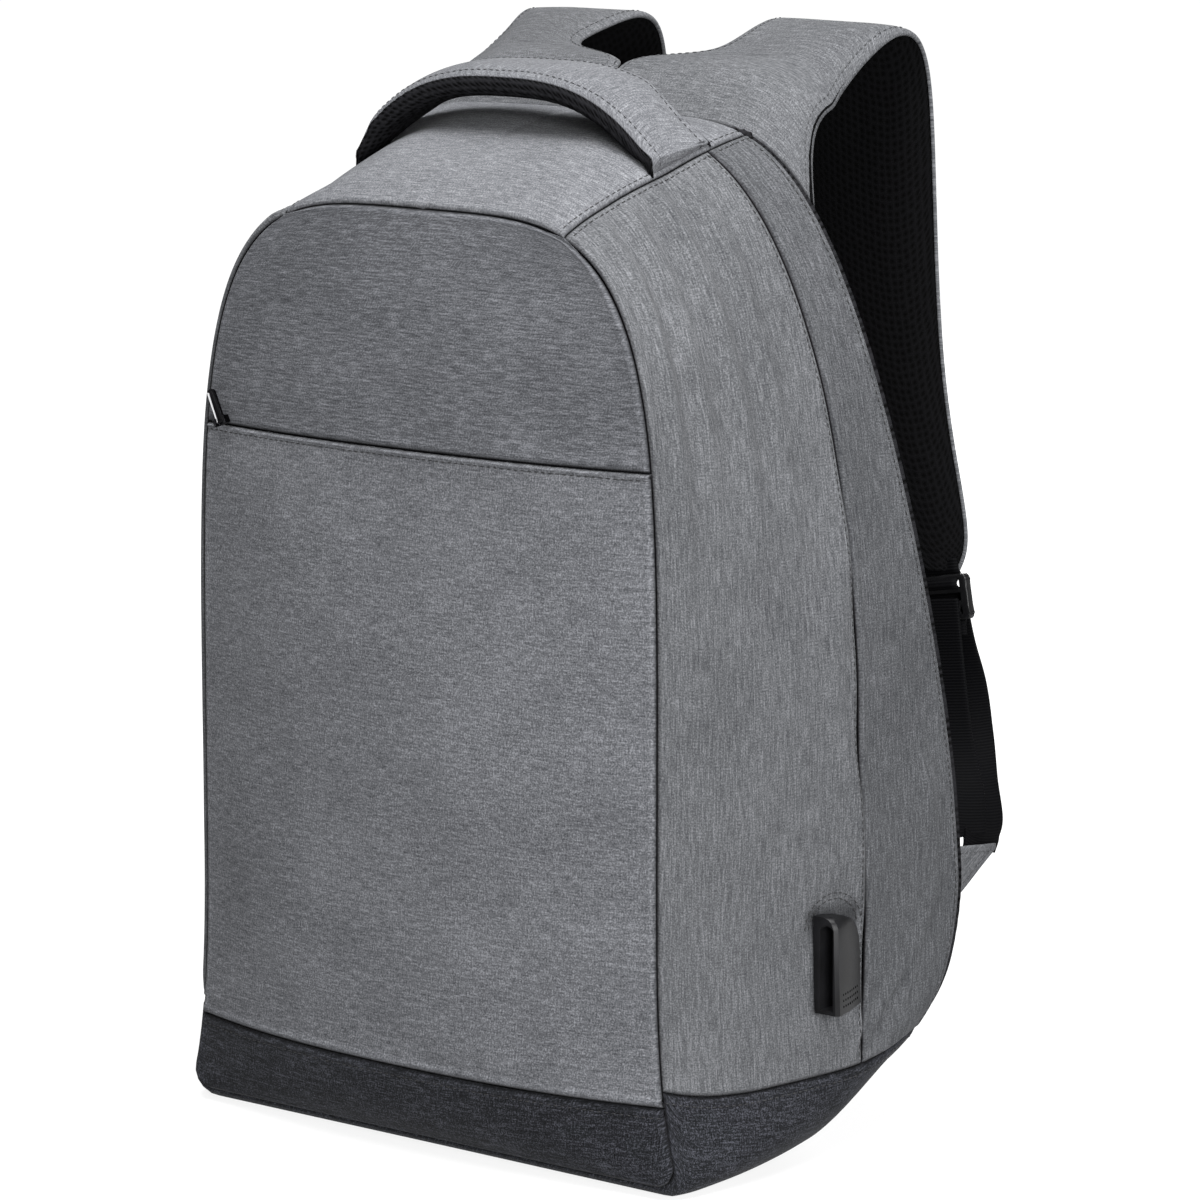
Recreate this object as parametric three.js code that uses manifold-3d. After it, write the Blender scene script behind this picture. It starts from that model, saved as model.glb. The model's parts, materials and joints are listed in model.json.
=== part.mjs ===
// Laptop backpack with a padded front, a charcoal base, folded shoulder straps and a side charging port.
// Millimetres, +Z up. The origin is the centre of the flat base, the front faces -Y and +X is to the
// right seen from the front. The body is one family of outlines that grows from the front seam
// (depth 0) to the back seam (depth 1), cut into cloth panels along its seams.
import * as THREE from "three";
import { mergeVertices } from "three/addons/utils/BufferGeometryUtils.js";
import Module from "manifold-3d";

const wasm = await Module();
wasm.setup();

// Clearance between neighbouring pieces.
const GAP = 0.35;

// Body: the front seam, the back seam and where they stand.
const FRONT_HALF = 125.3;
const BACK_HALF = 156;
const FRONT_TOP = 406;
const BACK_TOP = 440;
const FRONT_REACH = 80;
const HIP_REACH = 97;
const HIP_HEIGHT = 110;
const TOP_REACH = 28;
const HEEL_SIDE = 70;
const HEEL_MIDDLE = 40;
const BELLY_HEIGHT = 151;
const FRONT_FOOT = 5;
const BACK_FOOT = 10;
const FRONT_CORNER = 10;
const BACK_CORNER = 64;
const FLARE = 12;
const FLAT_DEPTH = 0.66;

// Seams on the body: the base band, the shoulder seam and the upright side seam.
const BAND_FRONT = 39.5;
const BAND_LOW = 39.5;
const BAND_LIFT = 7;
const SHOULDER_FRONT = 76;
const SHOULDER_BACK = 88;

// Walls.
const FRONT_WALL = 6;
const GUSSET_WALL = 3;
const BASE_WALL = 4;
const BACK_WALL = 5;
const EDGE_WALL = 1.6;
const FRONT_PUFF = 17;
const BACK_PUFF = 3;

// Front pocket: its hem, the zip above it, the slider and the pull.
const HEM_HEIGHT = 305.5;
const ZIP_WIDTH = 4;
const ZIP_WALL = 1.5;
const EAR_WALL = 1;
const ZIP_RECESS = 0.9;
const SLIDER_INSET = 19.3;
const SLIDER_LENGTH = 7;
const SLIDER_WALL = 1.2;
const EAR_HEIGHT = 2.6;
const PULL_WIDTH = 4.2;
const PULL_LENGTH = 14.5;
const PULL_WALL = 1.3;
const PULL_LEAN = 24;

// Handle over the top.
const HANDLE_HALF = 80;
const HANDLE_ARCH = 28;
const HANDLE_WIDTH = 37;
const HANDLE_PAD = 9.5;
const HANDLE_END_PAD = 3.2;
const HANDLE_CROWN = 2;
const HANDLE_COVER = 1.5;
const HANDLE_REACH = 9.5;
const HANDLE_TILT = 6;

// Shoulder straps: from the top seam up and back, over a fold, and down behind the bag.
const STRAP_WIDTH = 67;
const STRAP_SPREAD = 74;
const STRAP_REACH = 112;
const STRAP_RISE = 37;
const STRAP_FALL = 204;
const STRAP_COVER = 1.5;
const STRAP_PAD = 6;
const STRAP_BINDING = 1.2;

// Strap adjusters.
const LOCK_WIDTH = 34;
const LOCK_HEIGHT = 20;
const LOCK_WALL = 4;
const LOCK_SLOT = 3.6;
const LOCK_LEAN = 10;
const LOCK_SHIFT = 7.5;
const WEBBING_WIDTH = 25;
const WEBBING_WALL = 1.6;
const TAB_WALL = 1.5;
const TAB_HEIGHT = 26;
const TAB_CENTRE = 108;
const TAB_REACH = 35;
const TAB_BLUNT = 2;
const WEBBING_INSET = 5.5;
const WEBBING_ON_TAB = 0.63;
const WEBBING_LIFT = 3;

// Charging port on the right side.
const PORT_FRONT = -1;
const PORT_LENGTH = 26;
const PORT_LOW = 67.5;
const PORT_HEIGHT = 42;
const PORT_PROUD = 12;
const PORT_REAR_PROUD = 1.4;
const PORT_RIM = 1.5;
const PORT_RECESS = 9;
const PORT_DOME = 18;
const PORT_CROWN = 6;
const PORT_SOFTEN = 1.5;

// Depth shares at which the cloth is faceted, before and behind the side seam.
const FORE_STEPS = [0, 0.03, 0.085, 0.2, 0.38, 0.6, 0.8, 1];
const REAR_STEPS = [0, 0.3, 0.6, 0.82, 1];

// How far the front stands out, by share of the front's height.
const FRONT_PROFILE = [
  { height: 0.012, puff: 0 },
  { height: 0.03, puff: 0.42 },
  { height: 0.06, puff: 0.8 },
  { height: 0.1, puff: 1 },
  { height: 0.35, puff: 1 },
  { height: 0.6, puff: 0.86 },
  { height: 0.755, puff: 0.68 },
  { height: 0.87, puff: 0.42 },
  { height: 0.95, puff: 0.18 },
  { height: 1, puff: 0 },
];

// How square the shoulders are and how flat the top is, by depth share.
const TOP_SHAPE = [
  { depth: 0, square: 4.1, flat: 4.5 },
  { depth: 0.1, square: 4.4, flat: 2.9 },
  { depth: 0.25, square: 4.5, flat: 1.95 },
  { depth: 0.5, square: 4.5, flat: 1.52 },
  { depth: 0.75, square: 5, flat: 1.42 },
  { depth: 1, square: 6, flat: 1.5 },
];

// Depth share of the upright side seam, by share of the way up the side.
const SIDE_SEAM = [
  { share: 0, depth: 0.695 },
  { share: 0.06, depth: 0.65 },
  { share: 0.14, depth: 0.63 },
  { share: 0.3, depth: 0.633 },
  { share: 0.45, depth: 0.685 },
  { share: 0.6, depth: 0.735 },
  { share: 0.75, depth: 0.775 },
  { share: 0.88, depth: 0.785 },
  { share: 1, depth: 0.78 },
];

// How far the base band climbs at its ends, by depth share.
const BAND_CLIMB = [
  { depth: 0, climb: 1 },
  { depth: 0.07, climb: 0.55 },
  { depth: 0.16, climb: 0.2 },
  { depth: 0.3, climb: 0 },
  { depth: 0.6, climb: 0 },
  { depth: 0.78, climb: 0.2 },
  { depth: 0.9, climb: 0.6 },
  { depth: 1, climb: 1 },
];

// Route of a shoulder strap, from its seam to its lower end, as shares of the strap sizes.
const STRAP_ROUTE = [
  { back: 0.035, rise: 0.05, fall: 0, across: 0.73, wide: 1.61 },
  { back: 0.134, rise: 0.33, fall: 0, across: 0.716, wide: 1.58 },
  { back: 0.25, rise: 0.51, fall: 0, across: 0.71, wide: 1.567 },
  { back: 0.295, rise: 0.56, fall: 0, across: 0.716, wide: 1.52 },
  { back: 0.33, rise: 0.6, fall: 0, across: 0.858, wide: 1.24 },
  { back: 0.375, rise: 0.65, fall: 0, across: 0.94, wide: 1 },
  { back: 0.446, rise: 0.725, fall: 0, across: 0.96, wide: 0.925 },
  { back: 0.5625, rise: 0.825, fall: 0, across: 0.943, wide: 0.931 },
  { back: 0.7, rise: 0.925, fall: 0, across: 0.95, wide: 0.96 },
  { back: 0.82, rise: 1, fall: 0, across: 0.973, wide: 1 },
  { back: 0.945, rise: 0.86, fall: 0, across: 0.995, wide: 1 },
  { back: 1, rise: 0.38, fall: 0, across: 1.015, wide: 1.005 },
  { back: 1.01, rise: 0, fall: 0.12, across: 1.035, wide: 1.005 },
  { back: 1, rise: 0, fall: 0.49, across: 1.08, wide: 1 },
  { back: 0.98, rise: 0, fall: 0.7, across: 1.2, wide: 0.99 },
  { back: 0.965, rise: 0, fall: 0.88, across: 1.36, wide: 0.97 },
  { back: 0.955, rise: 0, fall: 0.955, across: 1.44, wide: 0.84 },
  { back: 0.95, rise: 0, fall: 1, across: 1.52, wide: 0.5 },
];

// Route of the webbing from the lock to the side tab: shares of the way out, back and down.
const WEBBING_ROUTE = [
  { out: 0, back: 0, down: 0, turn: 0, tip: 0 },
  { out: 0.1, back: 0.15, down: 0.18, turn: 6, tip: 0 },
  { out: 0.24, back: 0.3, down: 0.34, turn: 16, tip: 0 },
  { out: 0.36, back: 0.32, down: 0.53, turn: 38, tip: 4 },
  { out: 0.64, back: 0, down: 0.7, turn: 64, tip: 10 },
  { out: 0.97, back: -0.6, down: 0.83, turn: 86, tip: 16 },
  { out: 1, back: -0.85, down: 0.91, turn: 90, tip: 20 },
  { out: 1, back: -1, down: 1, turn: 90, tip: 20 },
];

// Route of the loose tail in front of it, in the same shares.
const TAIL_ROUTE = [
  { out: 0, back: 0, down: 0, turn: 0, tip: 0 },
  { out: 0.12, back: -0.25, down: 0.2, turn: 0, tip: 0 },
  { out: 0.24, back: -0.7, down: 0.38, turn: -3, tip: 0 },
  { out: 0.33, back: -1.2, down: 0.52, turn: -6, tip: 2 },
  { out: 0.3, back: -1.75, down: 0.66, turn: -10, tip: 6 },
  { out: 0.2, back: -2.2, down: 0.76, turn: -14, tip: 10 },
];

const mix = (a, b, share) => a + (b - a) * share;
const clamp01 = (value) => Math.min(1, Math.max(0, value));
const degrees = (value) => (value * Math.PI) / 180;
const vector = (x, y, z) => new THREE.Vector3(x, y, z);
const steps = (count) => Array.from({ length: count + 1 }, (_, i) => i / count);

// Value of one column of a table at a place along another column.
function lookUp(table, key, value, place) {
  const last = table.length - 1;
  let i = 0;
  while (i < last - 1 && table[i + 1][key] < place) i += 1;
  const share = clamp01((place - table[i][key]) / (table[i + 1][key] - table[i][key]));
  return mix(table[i][value], table[i + 1][value], share);
}

// Distance behind the origin of the back seam surface, at a height and a share of the half width.
function backSurface(height, sideShare) {
  if (height < HIP_HEIGHT) {
    const heel = mix(HEEL_MIDDLE, HEEL_SIDE, clamp01(sideShare) ** 2);
    return HIP_REACH - heel * (1 - height / HIP_HEIGHT) ** 2;
  }
  const rise = (height - HIP_HEIGHT) / (BACK_TOP - HIP_HEIGHT);
  return HIP_REACH - (HIP_REACH - TOP_REACH) * rise ** 1.25;
}

const FLOOR_STEPS = 12;

// Half outline at one depth share, from the middle of the bottom to the middle of the top.
function outline(depth) {
  const growth = Math.sin((Math.PI / 2) * depth ** 0.85);
  const half = mix(FRONT_HALF, BACK_HALF, growth);
  const top = mix(FRONT_TOP, BACK_TOP, growth);
  const shoulder = 2 / lookUp(TOP_SHAPE, "depth", "square", depth);
  const crown = 2 / lookUp(TOP_SHAPE, "depth", "flat", depth);
  const frontLift = FRONT_FOOT * clamp01(1 - depth / 0.06) ** 2;
  const middleLift = BACK_FOOT * 0.3 * clamp01((depth - 0.88) / 0.12) ** 2;
  const turnUp = clamp01((depth - FLAT_DEPTH) / (1 - FLAT_DEPTH));
  const foot = frontLift + BACK_FOOT * turnUp * turnUp * (3 - 2 * turnUp);
  const corner = mix(FRONT_CORNER, BACK_CORNER, depth ** 1.5);
  const flare = FLARE * (1 - depth) ** 2;
  const cornerTop = foot + corner;
  const side = (z) => half + flare * ((BELLY_HEIGHT - z) / (BELLY_HEIGHT - foot)) ** 4;
  const floorHalf = side(cornerTop) - corner;
  const points = [];
  for (const t of steps(FLOOR_STEPS)) {
    points.push([floorHalf * t, mix(frontLift + middleLift, foot, t ** 4)]);
  }
  for (const t of steps(18).slice(1)) {
    const angle = (t * Math.PI) / 2;
    points.push([floorHalf + corner * Math.sin(angle), cornerTop - corner * Math.cos(angle)]);
  }
  for (const t of steps(16).slice(1)) {
    const z = mix(cornerTop, BELLY_HEIGHT, t);
    points.push([side(z), z]);
  }
  for (const t of steps(80).slice(1)) {
    const angle = (Math.PI / 2) * (1 - (1 - t) ** 2);
    const x = half * Math.max(0, Math.cos(angle)) ** shoulder;
    points.push([t === 1 ? 0 : x, BELLY_HEIGHT + (top - BELLY_HEIGHT) * Math.sin(angle) ** crown]);
  }
  return points;
}

// An outline with its running lengths and the lengths at its seams.
const sections = new Map();
function section(depth) {
  if (sections.has(depth)) return sections.get(depth);
  const points = outline(depth);
  const lengths = [0];
  for (let i = 1; i < points.length; i += 1) {
    const [x0, z0] = points[i - 1];
    const [x1, z1] = points[i];
    lengths.push(lengths[i - 1] + Math.hypot(x1 - x0, z1 - z0));
  }
  const crossing = (test) => points.findIndex((point, index) => index > 0 && test(point));
  const band = BAND_LOW + BAND_LIFT * lookUp(BAND_CLIMB, "depth", "climb", depth);
  const b = crossing(([, z]) => z >= band);
  const bandShare = (band - points[b - 1][1]) / (points[b][1] - points[b - 1][1]);
  const shoulderX = mix(SHOULDER_FRONT, SHOULDER_BACK, depth);
  const s = crossing(([x, z]) => z > BELLY_HEIGHT && x <= shoulderX);
  const shoulderShare = (points[s - 1][0] - shoulderX) / (points[s - 1][0] - points[s][0]);
  const made = {
    points,
    lengths,
    band: mix(lengths[b - 1], lengths[b], bandShare),
    shoulder: mix(lengths[s - 1], lengths[s], shoulderShare),
    end: lengths[lengths.length - 1],
  };
  sections.set(depth, made);
  return made;
}

// Point on an outline at a running length.
function alongSection(depth, length) {
  const { points, lengths } = section(depth);
  const last = lengths.length - 1;
  let i = 1;
  while (i < last && lengths[i] < length) i += 1;
  const share = clamp01((length - lengths[i - 1]) / (lengths[i] - lengths[i - 1]));
  const x = mix(points[i - 1][0], points[i][0], share);
  const z = mix(points[i - 1][1], points[i][1], share);
  return [x, z];
}

// Running length at a height on the side.
function lengthAtHeight(depth, height) {
  const { points, lengths } = section(depth);
  const i = points.findIndex(([x, z], index) => index > FLOOR_STEPS && z >= height);
  const share = (height - points[i - 1][1]) / (points[i][1] - points[i - 1][1]);
  return mix(lengths[i - 1], lengths[i], share);
}

// The three stretches of cloth round the body, each as a pair of running lengths.
const stretches = {
  base: (s) => [0, s.band - GAP / 2],
  side: (s) => [s.band + GAP / 2, s.shoulder - GAP / 2],
  top: (s) => [s.end, s.shoulder + GAP / 2],
};

// Point on the body's cloth: stretch, share along it (negative is the left side) and depth share.
function cloth(stretch, share, depth, sign = share < 0 ? -1 : 1) {
  const place = share * sign;
  const [from, to] = stretches[stretch](section(depth));
  const [x, z] = alongSection(depth, mix(from, to, place));
  const [backFrom, backTo] = stretches[stretch](section(1));
  const [backX, backZ] = alongSection(1, mix(backFrom, backTo, place));
  const back = backSurface(backZ, backX / BACK_HALF);
  return vector(sign * x, mix(-FRONT_REACH, back, depth), z);
}

// The same point moved inwards along the cloth's normal.
function clothInside(stretch, share, depth, wall) {
  const small = 0.004;
  const near = Math.max(depth - small, 0);
  const far = Math.min(depth + small, 1);
  const sign = share < 0 ? -1 : 1;
  const ahead = cloth(stretch, share + small, depth, sign);
  const along = ahead.sub(cloth(stretch, share - small, depth, sign));
  const inward = cloth(stretch, share, far).sub(cloth(stretch, share, near));
  const normal = along.cross(inward).normalize();
  const point = cloth(stretch, share, depth);
  const outward = vector(point.x, 0, point.z - BELLY_HEIGHT);
  if (normal.dot(outward) < 0) normal.negate();
  return point.addScaledVector(normal, -wall);
}

// Signed volume of an indexed triangle mesh.
function signedVolume(points, faces) {
  let volume = 0;
  for (const [a, b, c] of faces) {
    volume += points[a].dot(points[b].clone().cross(points[c])) / 6;
  }
  return volume;
}

function geometryFrom(points, faces) {
  const turned = signedVolume(points, faces) < 0;
  const index = faces.flatMap(([a, b, c]) => (turned ? [a, c, b] : [a, b, c]));
  const geometry = new THREE.BufferGeometry();
  const flat = points.flatMap((p) => [p.x, p.y, p.z]);
  geometry.setAttribute("position", new THREE.Float32BufferAttribute(flat, 3));
  geometry.setIndex(index);
  geometry.computeVertexNormals();
  return geometry;
}

// Closed wall between two grids of points with the same rows and columns.
function wallBetween(outer, inner) {
  const rows = outer.length;
  const columns = outer[0].length;
  const points = [...outer.flat(), ...inner.flat()];
  const at = (layer, i, j) => layer * rows * columns + i * columns + j;
  const faces = [];
  const quad = (a, b, c, d) => faces.push([a, b, c], [a, c, d]);
  for (let i = 0; i < rows - 1; i += 1) {
    for (let j = 0; j < columns - 1; j += 1) {
      quad(at(0, i, j), at(0, i, j + 1), at(0, i + 1, j + 1), at(0, i + 1, j));
      quad(at(1, i, j), at(1, i + 1, j), at(1, i + 1, j + 1), at(1, i, j + 1));
    }
  }
  for (let i = 0; i < rows - 1; i += 1) {
    quad(at(0, i, 0), at(0, i + 1, 0), at(1, i + 1, 0), at(1, i, 0));
    const j = columns - 1;
    quad(at(0, i, j), at(1, i, j), at(1, i + 1, j), at(0, i + 1, j));
  }
  for (let j = 0; j < columns - 1; j += 1) {
    quad(at(0, 0, j), at(1, 0, j), at(1, 0, j + 1), at(0, 0, j + 1));
    const i = rows - 1;
    quad(at(0, i, j), at(0, i, j + 1), at(1, i, j + 1), at(1, i, j));
  }
  return geometryFrom(points, faces);
}

// Closed solid through a row of loops that each hold the same number of points.
function loft(loops) {
  const count = loops[0].length;
  const points = loops.flat();
  const faces = [];
  for (let i = 0; i < loops.length - 1; i += 1) {
    for (let j = 0; j < count; j += 1) {
      const a = i * count + j;
      const b = i * count + ((j + 1) % count);
      faces.push([a, b, b + count], [a, b + count, a + count]);
    }
  }
  const last = (loops.length - 1) * count;
  for (let j = 1; j < count - 1; j += 1) {
    faces.push([0, j + 1, j]);
    faces.push([last, last + j, last + j + 1]);
  }
  return geometryFrom(points, faces);
}

// Smooth list of rows through a table, evenly spaced in its row number.
function smoothRows(table, count) {
  const keys = Object.keys(table[0]);
  const value = (i, key) => table[Math.min(table.length - 1, Math.max(0, i))][key];
  return steps(count).map((t) => {
    const place = t * (table.length - 1);
    const i = Math.min(Math.floor(place), table.length - 2);
    const f = place - i;
    const row = {};
    for (const key of keys) {
      const before = value(i - 1, key);
      const a = value(i, key);
      const b = value(i + 1, key);
      const after = value(i + 2, key);
      const bend = (2 * before - 5 * a + 4 * b - after) * f ** 2 + (3 * a - before - 3 * b + after) * f ** 3;
      row[key] = a + 0.5 * ((b - before) * f + bend);
    }
    return row;
  });
}

function solidFrom(geometry) {
  const bare = geometry.clone();
  bare.deleteAttribute("normal");
  if (bare.getAttribute("uv")) bare.deleteAttribute("uv");
  const merged = mergeVertices(bare, 1e-4);
  const vertProperties = new Float32Array(merged.getAttribute("position").array);
  const triVerts = new Uint32Array(merged.getIndex().array);
  return new wasm.Manifold(new wasm.Mesh({ numProp: 3, vertProperties, triVerts }));
}

function geometryOf(solid) {
  const mesh = solid.getMesh();
  const geometry = new THREE.BufferGeometry();
  geometry.setAttribute("position", new THREE.BufferAttribute(new Float32Array(mesh.vertProperties), 3));
  geometry.setIndex(new THREE.BufferAttribute(new Uint32Array(mesh.triVerts), 1));
  geometry.computeVertexNormals();
  return geometry;
}

// Materials.
function finish(color, roughness, metalness = 0) {
  return new THREE.MeshStandardMaterial({ color, roughness, metalness });
}
const greyCloth = finish(0x7d7d82, 0.95);
const charcoalCloth = finish(0x2f3036, 0.95);
const blackMesh = finish(0x141416, 0.9);
const blackWebbing = finish(0x1a1a1c, 0.85);
const blackPlastic = finish(0x18181a, 0.45);
const darkMetal = finish(0x303033, 0.35, 0.8);

const backpack = new THREE.Group();

function add(name, geometry, material) {
  const mesh = new THREE.Mesh(geometry, material);
  mesh.name = name;
  backpack.add(mesh);
  return mesh;
}

// Body cloth: panels between the seams.
const BASE_SHARES = [0, 0.35, 0.52, 0.62, 0.7, 0.77, 0.84, 0.92, 1];
const SIDE_SHARES = [0, 0.035, 0.075, 0.13, 0.24, 0.36, 0.47, 0.57, 0.66, 0.74, 0.81, 0.87, 0.93, 1];
const TOP_SHARES = [0, 0.25, 0.5, 0.72, 0.88, 1];
const seamInset = GAP / 2 / (FRONT_REACH + HIP_REACH);

// Depth share of the upright side seam at a share of the way up the side.
function sideSeam(share) {
  return lookUp(SIDE_SEAM, "share", "depth", share);
}

const bothSides = (shares) => [...shares.slice(1).reverse().map((s) => -s), ...shares];
const between = (from, to, list) => list.map((share) => mix(from, to, share));

function clothPanel(stretch, shares, depthsAt, wall) {
  const outer = shares.map((share) => depthsAt(share).map((depth) => cloth(stretch, share, depth)));
  const inner = shares.map((share) =>
    depthsAt(share).map((depth) => clothInside(stretch, share, depth, wall)),
  );
  return wallBetween(outer, inner);
}

function wholeDepth(seam) {
  const fore = between(seamInset, seam, FORE_STEPS);
  const rear = between(seam, 1 - 2 * seamInset, REAR_STEPS);
  return [...fore, ...rear.slice(1)];
}

add(
  "base_tray",
  clothPanel("base", bothSides(BASE_SHARES), () => wholeDepth(sideSeam(0)), BASE_WALL),
  charcoalCloth,
);
add(
  "top_panel",
  clothPanel("top", bothSides(TOP_SHARES), () => wholeDepth(sideSeam(1)), GUSSET_WALL),
  greyCloth,
);
for (const [sideName, sign] of [["right", 1], ["left", -1]]) {
  const shares = SIDE_SHARES.map((share) => sign * Math.max(share, 1e-6));
  const fore = (share) => between(seamInset, sideSeam(Math.abs(share)) - seamInset, FORE_STEPS);
  const rear = (share) => between(sideSeam(Math.abs(share)) + seamInset, 1 - 2 * seamInset, REAR_STEPS);
  add(`side_panel_${sideName}`, clothPanel("side", shares, fore, GUSSET_WALL), greyCloth);
  add(`side_rear_${sideName}`, clothPanel("side", shares, rear, GUSSET_WALL), greyCloth);
}

// Patch between four edges that meet at their ends, each a function of a share.
function patch(low, high, left, right) {
  return (s, t) => {
    const point = low(s).multiplyScalar(1 - t).addScaledVector(high(s), t);
    point.addScaledVector(left(t), 1 - s).addScaledVector(right(t), s);
    point.addScaledVector(low(0), -(1 - s) * (1 - t)).addScaledVector(low(1), -s * (1 - t));
    return point.addScaledVector(high(0), -(1 - s) * t).addScaledVector(high(1), -s * t);
  };
}

// Edge of the front or back face along its outline, drawn in by the clearance.
function edgePoint(depth, length, sign) {
  const [x, z] = alongSection(depth, length);
  const scale = 1 - GAP / FRONT_HALF;
  return vector(sign * x * scale, 0, mix(BELLY_HEIGHT, z, scale));
}

function edgeRun(depth, from, to, sign) {
  return (share) => edgePoint(depth, mix(from, to, share), sign);
}

// Edge that runs from one side over the middle to the other.
function edgeAcross(depth, from, middle) {
  return (share) => {
    const sign = share < 0.5 ? -1 : 1;
    return edgePoint(depth, mix(from, middle, 1 - Math.abs(2 * share - 1)), sign);
  };
}

function levelEdge(height, depth) {
  const half = edgePoint(depth, lengthAtHeight(depth, height), 1).x;
  return (share) => vector(mix(-half, half, share), 0, edgePoint(depth, lengthAtHeight(depth, height), 1).z);
}

// How far the front cloth lies in front of the seam plane.
function frontPuff(point, s) {
  const rise = lookUp(FRONT_PROFILE, "height", "puff", point.z / FRONT_TOP);
  return FRONT_PUFF * rise * (1 - Math.abs(2 * s - 1) ** 2.4);
}

function frontPanel(face, columns, rows, recess, wall) {
  const outer = [];
  const inner = [];
  for (const t of rows) {
    const outerRow = [];
    const innerRow = [];
    for (const s of columns) {
      const point = face(s, t);
      const y = -FRONT_REACH - GAP - EDGE_WALL - frontPuff(point, s) + recess;
      outerRow.push(vector(point.x, y, point.z));
      innerRow.push(vector(point.x, Math.min(-FRONT_REACH - GAP, y + wall), point.z));
    }
    outer.push(outerRow);
    inner.push(innerRow);
  }
  return wallBetween(outer, inner);
}

const FRONT_COLUMNS = [0, 0.03, 0.09, 0.2, 0.35, 0.5, 0.65, 0.8, 0.91, 0.97, 1];
const frontSection = section(0);
const zipTop = HEM_HEIGHT + ZIP_WIDTH;
const floorLength = cornerLength(0);

// Running length at the middle of a lower corner.
function cornerLength(depth) {
  const corner = mix(FRONT_CORNER, BACK_CORNER, depth ** 1.5);
  const { lengths } = section(depth);
  return lengths[FLOOR_STEPS] + (corner * Math.PI) / 4;
}

const bandFace = patch(
  edgeAcross(0, floorLength, 0),
  levelEdge(BAND_FRONT - GAP / 2, 0),
  edgeRun(0, floorLength, lengthAtHeight(0, BAND_FRONT - GAP / 2), -1),
  edgeRun(0, floorLength, lengthAtHeight(0, BAND_FRONT - GAP / 2), 1),
);
add(
  "front_base_band",
  frontPanel(bandFace, FRONT_COLUMNS, steps(5), 0, FRONT_WALL),
  charcoalCloth,
);

const pocketFace = patch(
  levelEdge(BAND_FRONT + GAP / 2, 0),
  levelEdge(HEM_HEIGHT, 0),
  edgeRun(0, lengthAtHeight(0, BAND_FRONT + GAP / 2), lengthAtHeight(0, HEM_HEIGHT), -1),
  edgeRun(0, lengthAtHeight(0, BAND_FRONT + GAP / 2), lengthAtHeight(0, HEM_HEIGHT), 1),
);
add("front_pocket_panel", frontPanel(pocketFace, FRONT_COLUMNS, steps(9), 0, FRONT_WALL), greyCloth);

const zipFace = patch(
  levelEdge(HEM_HEIGHT + GAP, 0),
  levelEdge(zipTop, 0),
  edgeRun(0, lengthAtHeight(0, HEM_HEIGHT + GAP), lengthAtHeight(0, zipTop), -1),
  edgeRun(0, lengthAtHeight(0, HEM_HEIGHT + GAP), lengthAtHeight(0, zipTop), 1),
);
add("pocket_zip", frontPanel(zipFace, FRONT_COLUMNS, steps(1), ZIP_RECESS, ZIP_WALL), blackMesh);

const upperFace = patch(
  levelEdge(zipTop + GAP, 0),
  edgeAcross(0, frontSection.shoulder, frontSection.end),
  edgeRun(0, lengthAtHeight(0, zipTop + GAP), frontSection.shoulder, -1),
  edgeRun(0, lengthAtHeight(0, zipTop + GAP), frontSection.shoulder, 1),
);
add("front_upper_panel", frontPanel(upperFace, FRONT_COLUMNS, steps(8), 0, FRONT_WALL), greyCloth);

// Back panel: one padded face over the back outline.
const backSection = section(1);
const backFloor = cornerLength(1);
const backFace = patch(
  edgeAcross(1, backFloor, 0),
  edgeAcross(1, backSection.shoulder, backSection.end),
  edgeRun(1, backFloor, backSection.shoulder, -1),
  edgeRun(1, backFloor, backSection.shoulder, 1),
);

// Rows of the back panel, level with the facets of the cloth beside it.
function backRows() {
  const [from, to] = stretches.side(backSection);
  const reach = backSection.shoulder - backFloor;
  const beside = SIDE_SHARES.map((share) => (mix(from, to, share) - backFloor) / reach);
  return [0, beside[0] / 2, ...beside.slice(0, -1), 1];
}

function backPanel() {
  const outer = [];
  const inner = [];
  for (const t of backRows()) {
    const outerRow = [];
    const innerRow = [];
    for (const s of FRONT_COLUMNS) {
      const point = backFace(s, t);
      const seat = backSurface(point.z, Math.abs(point.x) / BACK_HALF) + 2 * GAP;
      const middle = (1 - Math.abs(2 * s - 1) ** 4) * Math.min(1, 6 * t, 6 * (1 - t));
      const y = seat + EDGE_WALL + BACK_PUFF * middle;
      outerRow.push(vector(point.x, y, point.z));
      innerRow.push(vector(point.x, Math.max(seat, y - BACK_WALL), point.z));
    }
    outer.push(outerRow);
    inner.push(innerRow);
  }
  return wallBetween(outer, inner);
}
add("back_panel", backPanel(), blackMesh);

// Height of the top cloth over a place, and its outward direction.
function topPoint(x, y) {
  let low = 0;
  let high = 1;
  const depthAt = (share) => {
    const [from, to] = stretches.top(section(1));
    const [backX, backZ] = alongSection(1, mix(from, to, share));
    const back = backSurface(backZ, backX / BACK_HALF);
    return (y + FRONT_REACH) / (back + FRONT_REACH);
  };
  for (let i = 0; i < 30; i += 1) {
    const middle = (low + high) / 2;
    if (cloth("top", middle, depthAt(middle)).x < x) low = middle;
    else high = middle;
  }
  return cloth("top", high, depthAt(high));
}

// Handle: a padded roll that arches over the top, with a cover strip on it.
const HANDLE_TAPER = 0.35;
const HANDLE_BOW = 3;
const seatFront = topPoint(HANDLE_HALF, -HANDLE_REACH - HANDLE_WIDTH / 2).z;
const seatRear = topPoint(HANDLE_HALF, -HANDLE_REACH + HANDLE_WIDTH / 2).z;
const handleFoot = (seatFront + seatRear) / 2 + HANDLE_END_PAD + 3 * GAP;
const endTilt = Math.atan((seatRear - seatFront) / HANDLE_WIDTH);

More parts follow.
